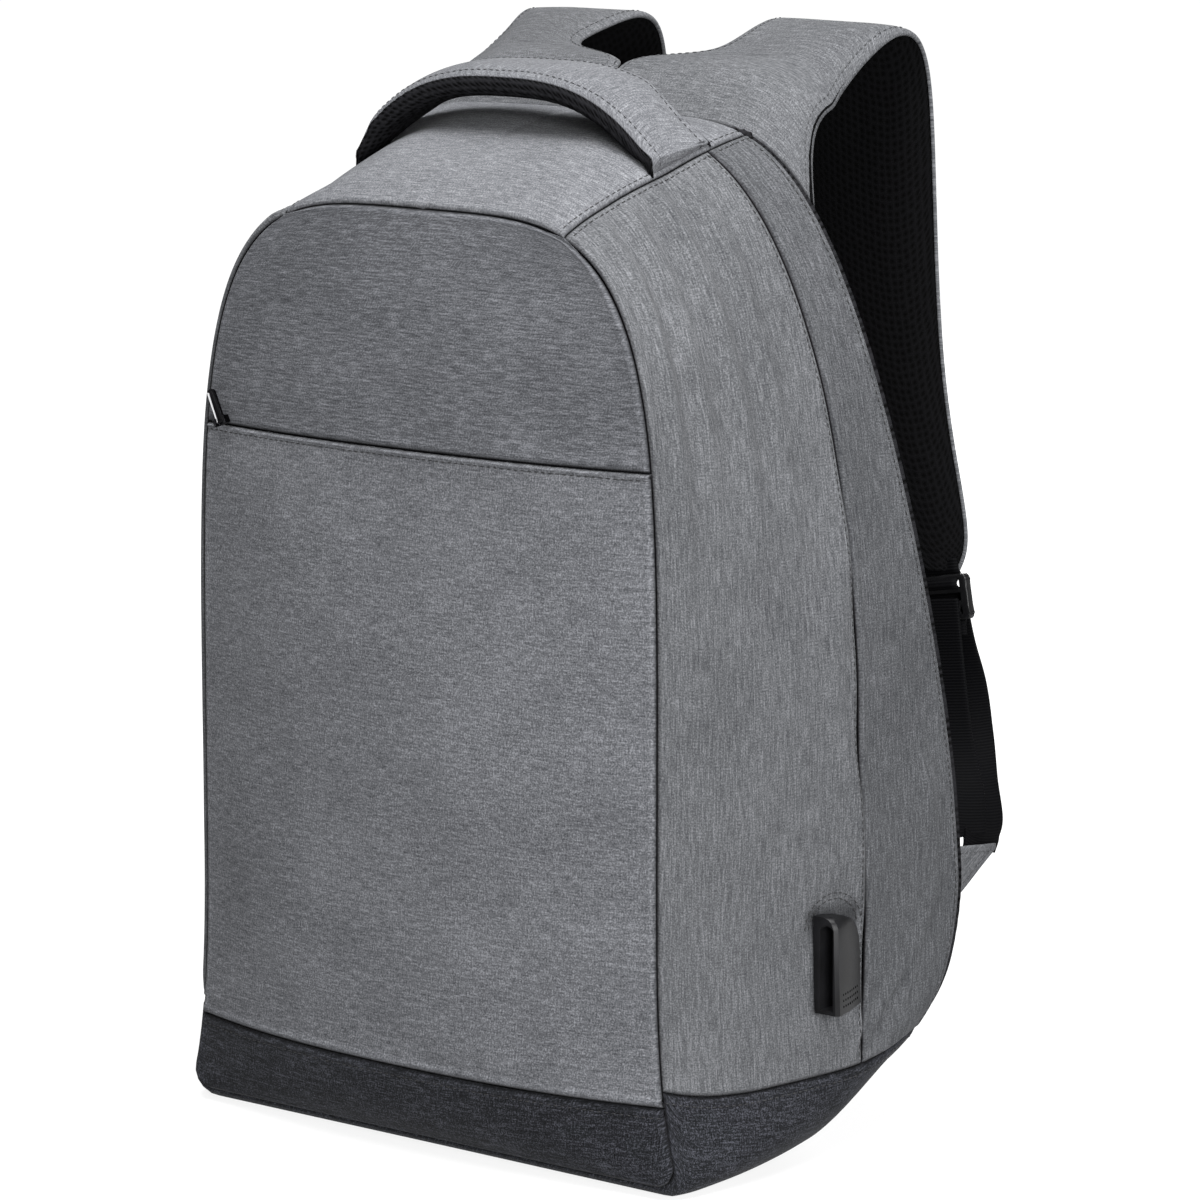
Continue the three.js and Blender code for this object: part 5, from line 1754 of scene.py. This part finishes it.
@dataclass
class Straps:
    """The shoulder straps: grey cloth over a mesh pad, up from the top seam, over a fold and down."""

    form: BodyForm
    palette: Palette
    stitches: Stitching
    width: float = 67.0
    spread: float = 74.0
    reach: float = 112.0
    rise: float = 37.0
    fall: float = 204.0
    cover: float = 1.5
    pad: float = 6.0
    inset: float = 1.2
    route: tuple = (
        StrapRow(0.012, -0.04, 0, 0.785, 1.745), StrapRow(0.134, 0.33, 0, 0.716, 1.58),
        StrapRow(0.25, 0.51, 0, 0.71, 1.567), StrapRow(0.295, 0.56, 0, 0.716, 1.52),
        StrapRow(0.33, 0.6, 0, 0.858, 1.24), StrapRow(0.375, 0.65, 0, 0.94, 1),
        StrapRow(0.446, 0.725, 0, 0.96, 0.925), StrapRow(0.5625, 0.825, 0, 0.943, 0.931),
        StrapRow(0.7, 0.925, 0, 0.94, 0.98), StrapRow(0.82, 1, 0, 0.953, 1.045),
        StrapRow(0.945, 0.86, 0, 0.96, 1.08), StrapRow(1, 0.38, 0, 0.975, 1.095),
        StrapRow(1.01, 0, 0.12, 0.99, 1.105), StrapRow(1, 0, 0.49, 1.04, 1.09),
        StrapRow(0.98, 0, 0.7, 1.2, 0.99), StrapRow(0.965, 0, 0.88, 1.36, 0.97),
        StrapRow(0.955, 0, 0.955, 1.44, 0.84), StrapRow(0.95, 0, 1, 1.52, 0.5),
    )

    def rows(self, count: int) -> list[StrapRow]:
        """The route as evenly spaced smooth rows."""
        table = np.array([(r.back, r.rise, r.fall, r.across, r.wide) for r in self.route])
        return [StrapRow(*values) for values in smooth_rows(table, count)]

    def ridge(self, x: float) -> float:
        """Height of the top of the back seam over a place across."""
        points = self.form.section(self.form.levels)["points"]
        i = next(k for k, (px, pz) in enumerate(points) if pz > self.form.belly_height and px <= x)
        share = (points[i - 1][0] - x) / (points[i - 1][0] - points[i][0])
        return mix(points[i - 1][1], points[i][1], share)

    def point(self, row: StrapRow, column: float, sign: int) -> np.ndarray:
        """A point of the strap's outer face."""
        form = self.form
        x = max(row.across * self.spread + row.wide * self.width * (column - 0.5), form.gap)
        near = 0.0 if row.fall > 0.001 else clamp01((0.9 - row.back) / 0.5)
        fade = near * near * (3 - 2 * near)
        top = mix(form.back_top, self.ridge(x), fade)
        z = top + row.rise * self.rise - row.fall * self.fall
        seam = mix(form.top_reach, form.back_surface(top, 0), fade)
        return np.array((sign * x, seam + row.back * self.reach, z))

    def grid(self, sign: int, count: int, columns: np.ndarray) -> tuple[np.ndarray, np.ndarray]:
        """The outer face's points and its outward directions."""
        rows = self.rows(count)
        points = np.array([[self.point(row, column, sign) for column in columns] for row in rows])
        points = soften(points, max(count // 18, 1))
        side = points[:, -1] - points[:, 0]
        ahead = np.gradient(points, axis=0)
        normals = np.cross(ahead, side[:, None, :]) * -sign
        normals /= np.linalg.norm(normals, axis=2, keepdims=True)
        reach = max(count // 18, 1)
        smooth = np.zeros_like(normals)
        for shift in range(-reach, reach + 1):
            picked = np.clip(np.arange(len(rows)) + shift, 0, len(rows) - 1)
            smooth += normals[picked]
        smooth /= np.linalg.norm(smooth, axis=2, keepdims=True)
        return points, smooth

    def layer(self, sign: int, depth: float, inset: float, count: int, columns: np.ndarray) -> tuple:
        """The outer face moved inwards and drawn in at its edges."""
        points, normals = self.grid(sign, count, columns)
        side = points[:, -1] - points[:, 0]
        side /= np.linalg.norm(side, axis=1, keepdims=True)
        draw = inset * (1 - 2 * columns)
        moved = points - normals * depth + side[:, None, :] * draw[None, :, None]
        moved[..., 0] = sign * np.maximum(sign * moved[..., 0], self.form.gap + inset)
        return moved, normals

    def build(self) -> None:
        """Makes both straps."""
        for side in Side:
            self.cloth(side)
            self.mesh(side)

    def cloth(self, side: Side) -> None:
        """Makes the grey cloth of a strap, its edges turned round the pad.

        Args:
            side: which strap.
        """
        columns = np.concatenate(((0.0, 0.008, 0.02, 0.04, 0.065), np.linspace(0.1, 0.9, 19),
                                  (0.935, 0.96, 0.98, 0.992, 1.0)))
        points, normals = self.layer(side.value, 0.0, 0.0, 150, columns)
        edge = np.minimum(columns, 1 - columns)
        turned = 2.2 * np.clip(1 - edge / 0.035, 0.0, 1.0) ** 2
        points = points - normals * turned[None, :, None]
        sheet = Lattice(points, normals)
        inner = smooth01(np.minimum(sheet.off(Edge.START_V), sheet.off(Edge.END_V)) / 9)
        sheet.push(0.5 * wobble(sheet.points, 26.0, 51.0 * side.value) * inner)
        sheet.push(0.6 * inner - 0.3)
        for name in (Edge.START_V, Edge.END_V):
            self.stitches.add(*sheet.track(name, 6.0))
            sheet.furrow(name, 6.0, 0.25)
        sheet.seams = [Edge.START_U]
        solid = f"strap_cover_{side.word}"
        sheet.build(f"strap_cloth_{side.word}", self.palette.strap_cloth, self.cover, "grey_cloth", solid)

    def mesh(self, side: Side) -> None:
        """Makes the pad of dimpled mesh under a strap's cloth.

        Args:
            side: which strap.
        """
        columns = np.linspace(0.0, 1.0, 31)
        top, normals = self.layer(side.value, self.cover + 0.35, self.inset, 150, columns)
        low, _ = self.layer(side.value, self.cover + 0.35 + self.pad, self.inset, 150, columns)
        swell = np.clip(1 - np.abs(2 * columns - 1) ** 3.2, 0.0, 1.0)[None, :, None]
        face = top * (1 - swell) + low * swell
        sheet = Lattice(face, -normals)
        dimple(sheet, 3.4, 0.35)
        name, solid = f"strap_mesh_{side.word}", f"strap_pad_{side.word}"
        sheet.build(name, self.palette.mesh, 1.4, "air_mesh", solid, turned=False)


def soften(points: np.ndarray, times: int) -> np.ndarray:
    """Evens out a grid along its rows, with its first and last rows held.

    Args:
        points: the grid.
        times: how often each row is drawn towards its neighbours.

    Returns:
        The softened grid.
    """
    made = points.copy()
    for _ in range(times * 9):
        made[1:-1] = made[1:-1] * 0.5 + (made[:-2] + made[2:]) * 0.25
    return made


def smooth_rows(table: np.ndarray, count: int) -> list[np.ndarray]:
    """Evenly spaced rows on a smooth curve through a table's rows.

    Args:
        table: one row for each station.
        count: how many steps to take.

    Returns:
        The rows, one more than the steps.
    """
    made = []
    last = len(table) - 1
    for k in range(count + 1):
        place = k / count * last
        i = min(int(place), last - 1)
        f = place - i
        before, a = table[max(i - 1, 0)], table[i]
        b, after = table[i + 1], table[min(i + 2, last)]
        bend = (2 * before - 5 * a + 4 * b - after) * f**2 + (3 * a - before - 3 * b + after) * f**3
        made.append(a + 0.5 * ((b - before) * f + bend))
    return made


@dataclass
class Adjusters:
    """What hangs from a strap's lower end: ladder lock, webbing with its loose tail, and the side tab."""

    form: BodyForm
    palette: Palette
    stitches: Stitching
    straps: Straps
    lock_width: float = 34.0
    lock_height: float = 20.0
    lock_wall: float = 4.0
    slot: float = 3.6
    lean: float = math.radians(10)
    shift: float = 7.5
    webbing_width: float = 25.0
    webbing_wall: float = 1.6
    tab_wall: float = 1.5
    tab_height: float = 26.0
    tab_centre: float = 108.0
    tab_reach: float = 35.0

    # Columns: shares out, back and down, then the turn and tip of the webbing in degrees.
    webbing_route: tuple = (
        (0, 0, 0, 0, 0), (0.1, 0.15, 0.18, 6, 0), (0.24, 0.25, 0.34, 16, 0), (0.38, 0.15, 0.53, 38, 4),
        (0.6, -0.2, 0.7, 62, 4), (0.84, -0.4, 0.85, 82, 4), (0.87, -0.55, 0.92, 88, 6),
        (0.87, -0.7, 0.965, 90, 8),
    )
    tail_route: tuple = (
        (0, 0, 0, 0, 0), (0.12, -0.25, 0.2, 0, 0), (0.24, -0.7, 0.38, 8, 0), (0.4, -1.3, 0.56, 25, 2),
        (0.68, -2.0, 0.74, 50, 6), (0.8, -2.2, 0.9, 66, 12),
    )

    def __post_init__(self) -> None:
        """Works out where the lock and the tab are."""
        low = self.straps.rows(36)[-1]
        spread, width = self.straps.spread, self.straps.width
        self.lock_x = low.across * spread + self.shift
        self.lock_y = self.form.top_reach + low.back * self.straps.reach - self.straps.cover - self.straps.pad / 2
        edge = low.across * spread + low.wide * width / 2
        drop = self.lock_height / 2 / math.cos(self.lean) + (edge - self.lock_x) * math.tan(self.lean)
        self.lock_z = self.form.back_top - self.straps.fall - self.form.gap - drop
        levels = self.form.levels
        self.tab_x, _ = self.form.along(levels, self.form.length_at_height(levels, self.tab_centre))
        self.tab_base = self.form.back_surface(self.tab_centre, 1) + self.form.gap + self.form.edge_wall
        self.end = np.array((self.tab_x - 5.5, self.tab_base + self.tab_reach * 0.63, self.tab_centre + 3))

    def build(self) -> None:
        """Makes both sides' adjusters."""
        for side in Side:
            self.lock(side)
            face = self.lock_wall / 2 + self.form.gap + self.webbing_wall / 2
            behind = np.array((self.lock_x, self.lock_y + face, self.lock_z))
            before = np.array((self.lock_x, self.lock_y - face, self.lock_z))
            self.ribbon(side, f"webbing_strap_{side.word}", f"webbing_{side.word}", self.webbing_route, behind)
            self.ribbon(side, f"webbing_end_{side.word}", f"webbing_tail_{side.word}", self.tail_route, before)
            self.tab(side)
            self.woven(side)

    def woven(self, side: Side) -> None:
        """Threads the webbing in and out of the lock's slots, from the strap's end downwards.

        Args:
            side: which side.
        """
        pitch = self.slot + (self.lock_height - 3 * self.slot) / 4
        reach = self.lock_height / 2 + 7.0
        lines = []
        for drop in np.linspace(-reach, reach, 90):
            swing = (self.lock_wall / 2 + 0.9) * math.sin(math.pi * (drop + pitch / 2) / pitch)
            near = float(smooth01((self.lock_height / 2 + 2 - abs(drop)) / 3))
            line = []
            for across in np.linspace(-1.0, 1.0, 9):
                spot = Vector((across * self.webbing_width / 2, swing * near, -drop))
                spot.rotate(Matrix.Rotation(-side.value * self.lean, 3, "Y"))
                line.append((side.value * self.lock_x + spot.x, self.lock_y + spot.y, self.lock_z + spot.z))
            lines.append(line)
        sheet = Lattice(np.array(lines), np.zeros((90, 9, 3)) + np.array((0.0, 1.0, 0.0)))
        sheet.build(f"lock_webbing_{side.word}", self.palette.webbing, 1.2, "black_webbing", offset=0.0)

    def lock(self, side: Side) -> None:
        """Makes the ladder lock: a rounded frame with two bars.

        Args:
            side: which side.
        """
        mesh = bmesh.new()
        bar = (self.lock_height - 3 * self.slot) / 4
        pitch = self.slot + bar
        half = (self.webbing_width + 1) / 2
        cuts_x = [half, self.lock_width / 2 - 1.6]
        cuts_z = [pitch * k + sign * self.slot / 2 for k in (-1, 0, 1) for sign in (-1, 1)]
        bmesh.ops.create_grid(mesh, x_segments=1, y_segments=1, size=0.5)
        for vert in mesh.verts:
            vert.co = Vector((vert.co.x * self.lock_width, 0, vert.co.y * self.lock_height))
        cuts = [((x, 0, 0), (1, 0, 0)) for x in sorted(sign * c for c in cuts_x for sign in (-1, 1))]
        for spot, way in cuts + [((0, 0, z), (0, 0, 1)) for z in cuts_z]:
            everything = mesh.verts[:] + mesh.edges[:] + mesh.faces[:]
            bmesh.ops.bisect_plane(mesh, geom=everything, plane_co=spot, plane_no=way)
        holes = []
        for face in mesh.faces:
            centre = face.calc_center_median()
            in_slot = any(abs(centre.z - k * pitch) < self.slot / 2 for k in (-1, 0, 1))
            if in_slot and abs(centre.x) < half:
                holes.append(face)
        bmesh.ops.delete(mesh, geom=holes, context="FACES")
        thicken(mesh, self.lock_wall)
        corners = [
            edge for edge in mesh.edges
            if all(abs(abs(v.co.x) - self.lock_width / 2) < 0.01 for v in edge.verts)
            and all(abs(abs(v.co.z) - self.lock_height / 2) < 0.01 for v in edge.verts)
        ]
        bmesh.ops.bevel(
            mesh, geom=corners, offset=2.5, segments=4, profile=0.5, affect="EDGES", material=-1,
        )
        sharp = [edge for edge in mesh.edges if edge.is_manifold and edge.calc_face_angle(0.0) > 1.0]
        bmesh.ops.bevel(
            mesh, geom=sharp, offset=0.7, segments=3, profile=0.5, affect="EDGES", material=-1,
        )
        turned = Matrix.Rotation(-side.value * self.lean, 4, "Y")
        placed = Matrix.Translation((side.value * self.lock_x, self.lock_y, self.lock_z)) @ turned
        bmesh.ops.transform(mesh, matrix=Matrix.Scale(MM, 4) @ placed, verts=mesh.verts[:])
        solid = f"ladder_lock_{side.word}"
        finish_mesh(f"lock_{side.word}", mesh, self.palette.plastic, solid)

    def ribbon(self, side: Side, name: str, cad_name: str, route: tuple, start: np.ndarray) -> None:
        """Makes a length of webbing along a route.

        Args:
            side: which side.
            name: the piece's name.
            cad_name: the node it stands for.
            route: its table.
            start: where it leaves the lock.
        """
        rows = smooth_rows(np.array(route, float), 70)
        sign = side.value
        centres = np.array([
            (
                sign * mix(start[0], self.end[0], row[0]),
                start[1] + row[1] * (start[1] - self.end[1]),
                mix(start[2], self.end[2], row[2]),
            )
            for row in rows
        ])
        ahead = np.gradient(centres, axis=0)
        ahead /= np.linalg.norm(ahead, axis=1, keepdims=True)
        across = np.linspace(-1.0, 1.0, 13)
        lines, facing = [], []
        for centre, way, row in zip(centres, ahead, rows):
            turn, tip = math.radians(row[3]), math.radians(row[4])
            wide = np.array((
                sign * math.cos(turn) * math.cos(tip), math.sin(turn) * math.cos(tip), math.sin(tip),
            ))
            wide = wide - way * 0.85 * float(wide @ way)
            wide /= np.linalg.norm(wide)
            thick = np.cross(wide, way)
            thick /= np.linalg.norm(thick)
            lines.append([centre + wide * place * self.webbing_width / 2 for place in across])
            facing.append([thick for _ in across])
        sheet = Lattice(np.array(lines), np.array(facing))
        material, wall = self.palette.webbing, self.webbing_wall
        piece = sheet.build(name, material, wall, "black_webbing", cad_name, offset=0.0)
        round_edges(piece, "edge", 0.5, 2)

    def tab(self, side: Side) -> None:
        """Makes the folded cloth tab that holds the webbing to the side.

        Args:
            side: which side.
        """
        inner = self.end[0] - self.webbing_wall / 2 - self.form.gap - self.tab_wall
        base, tip = self.tab_base, self.tab_base + self.tab_reach
        lines = []
        for s in np.linspace(0.0, 1.0, 24):
            y = mix(base, tip, s)
            low = mix(self.tab_centre - self.tab_height / 2, self.tab_centre + self.tab_height / 4, s)
            high = mix(self.tab_centre + self.tab_height / 2, self.tab_centre + self.tab_height / 3, s)
            x = side.value * (inner + self.tab_wall / 2)
            lines.append([(x, y, mix(low, high, t)) for t in np.linspace(0, 1, 16)])
        sheet = Lattice(np.array(lines), np.zeros((24, 16, 3)) + np.array((side.value, 0.0, 0.0)))
        sheet.push(0.3 * wobble(sheet.points, 14.0, 61.0))
        self.stitches.add(*sheet.track(Edge.START_V, 3.0), 0.85)
        self.stitches.add(*sheet.track(Edge.END_V, 3.0), 0.85)
        name, solid = f"tab_cloth_{side.word}", f"strap_tab_{side.word}"
        sheet.build(name, self.palette.side_cloth, self.tab_wall, "grey_cloth", solid, offset=0.0)


@dataclass
class Zipper:
    """The zip's slider and the pull that swings on it."""

    palette: Palette
    pull_width: float = 4.2
    pull_wall: float = 1.3
    pull_length: float = 14.5
    slider_wall: float = 1.2
    lean: float = math.radians(24)

    def build(self) -> None:
        """Makes the slider and the pull."""
        self.softened("zip_slider", "slider_body", "dark_metal", self.palette.metal, 0.35)
        self.pull()

    @staticmethod
    def softened(
        cad_name: str, name: str, slot: str, material: bpy.types.Material, radius: float,
    ) -> bpy.types.Object:
        """Copies a solid of the frame, joins its faces and softens its edges.

        Args:
            cad_name: the solid's node.
            name: the piece's name.
            slot: the record's material slot; not used.
            material: the finish.
            radius: radius of the softened edges in millimetres.

        Returns:
            The piece.
        """
        mesh = bmesh.new()
        mesh.from_mesh(frame["nodes"][cad_name].data)
        bmesh.ops.remove_doubles(mesh, verts=mesh.verts[:], dist=1e-6)
        bmesh.ops.dissolve_limit(
            mesh, angle_limit=math.radians(1.0), verts=mesh.verts[:], edges=mesh.edges[:],
        )
        piece = finish_mesh(name, mesh, material, cad_name)
        round_edges(piece, "edges", radius, 3, 40)
        return piece

    def pull(self) -> None:
        """Makes the pull: a dark tab with a bright left edge, partly a polished edge and partly a painted
        highlight, and a groove along its middle.
        """
        pivot = frame["joints"][0]["pos_m"]
        turned = Matrix.Translation(Vector(pivot)) @ Matrix.Rotation(-self.lean, 4, "Y") @ Matrix.Scale(MM, 4)
        half = self.pull_width / 2
        mesh = bmesh.new()
        bmesh.ops.create_grid(mesh, x_segments=1, y_segments=1, size=0.5)
        length = self.pull_length + self.pull_wall / 2
        middle = length / 2 - self.pull_wall / 2
        for vert in mesh.verts:
            vert.co = Vector((vert.co.x * self.pull_width, 0, vert.co.y * length + middle))
        top = [v for v in mesh.verts if v.co.z > 1]
        bmesh.ops.bevel(
            mesh, geom=top, offset=half * 0.97, segments=8, profile=0.5, affect="VERTICES", material=-1,
        )
        thicken(mesh, self.pull_wall)
        face = max(mesh.faces, key=lambda f: -f.calc_center_median().y * f.calc_area())
        bmesh.ops.inset_individual(mesh, faces=[face], thickness=1.1, depth=0.0)
        bmesh.ops.inset_individual(mesh, faces=[face], thickness=0.15, depth=-0.25)
        # The faces along the left edge take the bright metal: a polished edge, and a painted highlight where the
        # light catches it.
        for part in mesh.faces:
            part.material_index = int(part.calc_center_median().x < -0.6 * half)
        bmesh.ops.transform(mesh, matrix=turned, verts=mesh.verts[:])
        piece = finish_mesh("pull_tab", mesh, self.palette.metal, "zip_pull", "pull")
        piece.data.materials.append(self.palette.highlight_metal)
        round_edges(piece, "edges", 0.2, 2)


@dataclass
class ChargePort:
    """The moulded charging port on the right side, with rows of small dots beside its opening, painted near black
    as the shade inside small dimples.
    """

    palette: Palette
    radius: float = 0.9
    dot: float = 0.62
    dot_height: float = 0.14

    def build(self) -> None:
        """Makes the housing and its dots."""
        Zipper.softened("usb_port", "port_housing", "black_plastic", self.palette.port, self.radius)
        solid = bmesh.new()
        solid.from_mesh(frame["nodes"]["usb_port"].data)
        tree = BVHTree.FromBMesh(solid)
        mesh = bmesh.new()
        for row in range(3):
            for k in range(8):
                start = Vector((200.0, 4.6 + k * 2.3, PORT_LOW + 3.2 + row * 2.6)) * MM
                spot, facing, _, _ = tree.ray_cast(start, Vector((-1, 0, 0)))
                turned = facing.to_track_quat("Z", "Y").to_matrix().to_4x4()
                flat = Matrix.Diagonal((self.dot * MM, self.dot * MM, self.dot_height * MM, 1))
                placed = Matrix.Translation(spot) @ turned @ flat
                bmesh.ops.create_icosphere(mesh, subdivisions=2, radius=1.0, matrix=placed)
        solid.free()
        finish_mesh("port_dots", mesh, self.palette.dots)


class Studio:
    """A pale floor and soft light: a broad source above, one to the right in front, and a pale world."""

    def build(self) -> None:
        """Makes the floor, the lights and the world."""
        material, tree, shader = new_material("back_lit_white_sweep")
        spot = node(tree, "TexCoord").outputs["Object"]
        away = node(tree, "VectorMath", {"operation": "LENGTH"}, i0=spot).outputs["Value"]
        glow = node(
            tree, "MapRange", {"interpolation_type": "SMOOTHSTEP"}, Value=away,
            From_Min=0.25, From_Max=1.1, To_Min=0.84, To_Max=0.98,
        ).outputs["Result"]
        feed(
            shader, Base_Color=linear("#5c5c5c"), Roughness=0.9, Emission_Color=linear("#ffffff"),
            Emission_Strength=glow,
        )
        mesh = bmesh.new()
        bmesh.ops.create_grid(mesh, x_segments=1, y_segments=1, size=30.0)
        write_mesh("floor", mesh, material)
        self.lamp("key_above", (0.3, -0.35, 2.2), (0.0, 0.0, 0.2), 1.4, 125.0)
        self.lamp("front_right", (2.0, -1.35, 0.8), (0.0, 0.0, 0.2), 1.0, 105.0)
        self.lamp("behind", (-0.7, 2.5, 0.6), (0.0, 0.1, 0.25), 1.2, 60.0)
        world = bpy.data.worlds.new("studio")
        world.use_nodes = True
        sky = world.node_tree.nodes["Background"]
        sky.inputs["Color"].default_value = linear("#ffffff")
        sky.inputs["Strength"].default_value = 0.22
        bpy.context.scene.world = world
        bpy.context.scene.view_settings.view_transform = "Standard"

    @staticmethod
    def lamp(name: str, spot: Sequence[float], aim: Sequence[float], size: float, power: float) -> None:
        """Hangs a square soft light.

        Args:
            name: its name.
            spot: where it hangs, in metres.
            aim: what it points at.
            size: its side in metres.
            power: its power in watts.
        """
        data = bpy.data.lights.new(name, "AREA")
        data.shape = "SQUARE"
        data.size = size
        data.energy = power
        light = bpy.data.objects.new(name, data)
        bpy.context.scene.collection.objects.link(light)
        way = (Vector(aim) - Vector(spot)).to_track_quat("-Z", "Y")
        light.matrix_world = Matrix.Translation(spot) @ way.to_matrix().to_4x4()


def main() -> None:
    """Builds the backpack piece by piece, then the studio."""
    Camera().place()
    palette = Palette()
    form = BodyForm()
    stitches = Stitching(palette.grey_thread)
    edge_stitches = Stitching(palette.pale_thread, thickness=0.45)
    Shell(form, palette, stitches).build()
    Front(form, palette, stitches).build()
    Back(form, palette).build()
    Handle(form, palette, edge_stitches).build()
    straps = Straps(form, palette, edge_stitches)
    straps.build()
    Adjusters(form, palette, edge_stitches, straps).build()
    Zipper(palette).build()
    ChargePort(palette).build()
    stitches.build("topstitching", "grey_cloth")
    edge_stitches.build("edge_stitching", "grey_cloth")
    Studio().build()


if __name__ == "__main__":
    logging.basicConfig(level=logging.INFO)
    main()
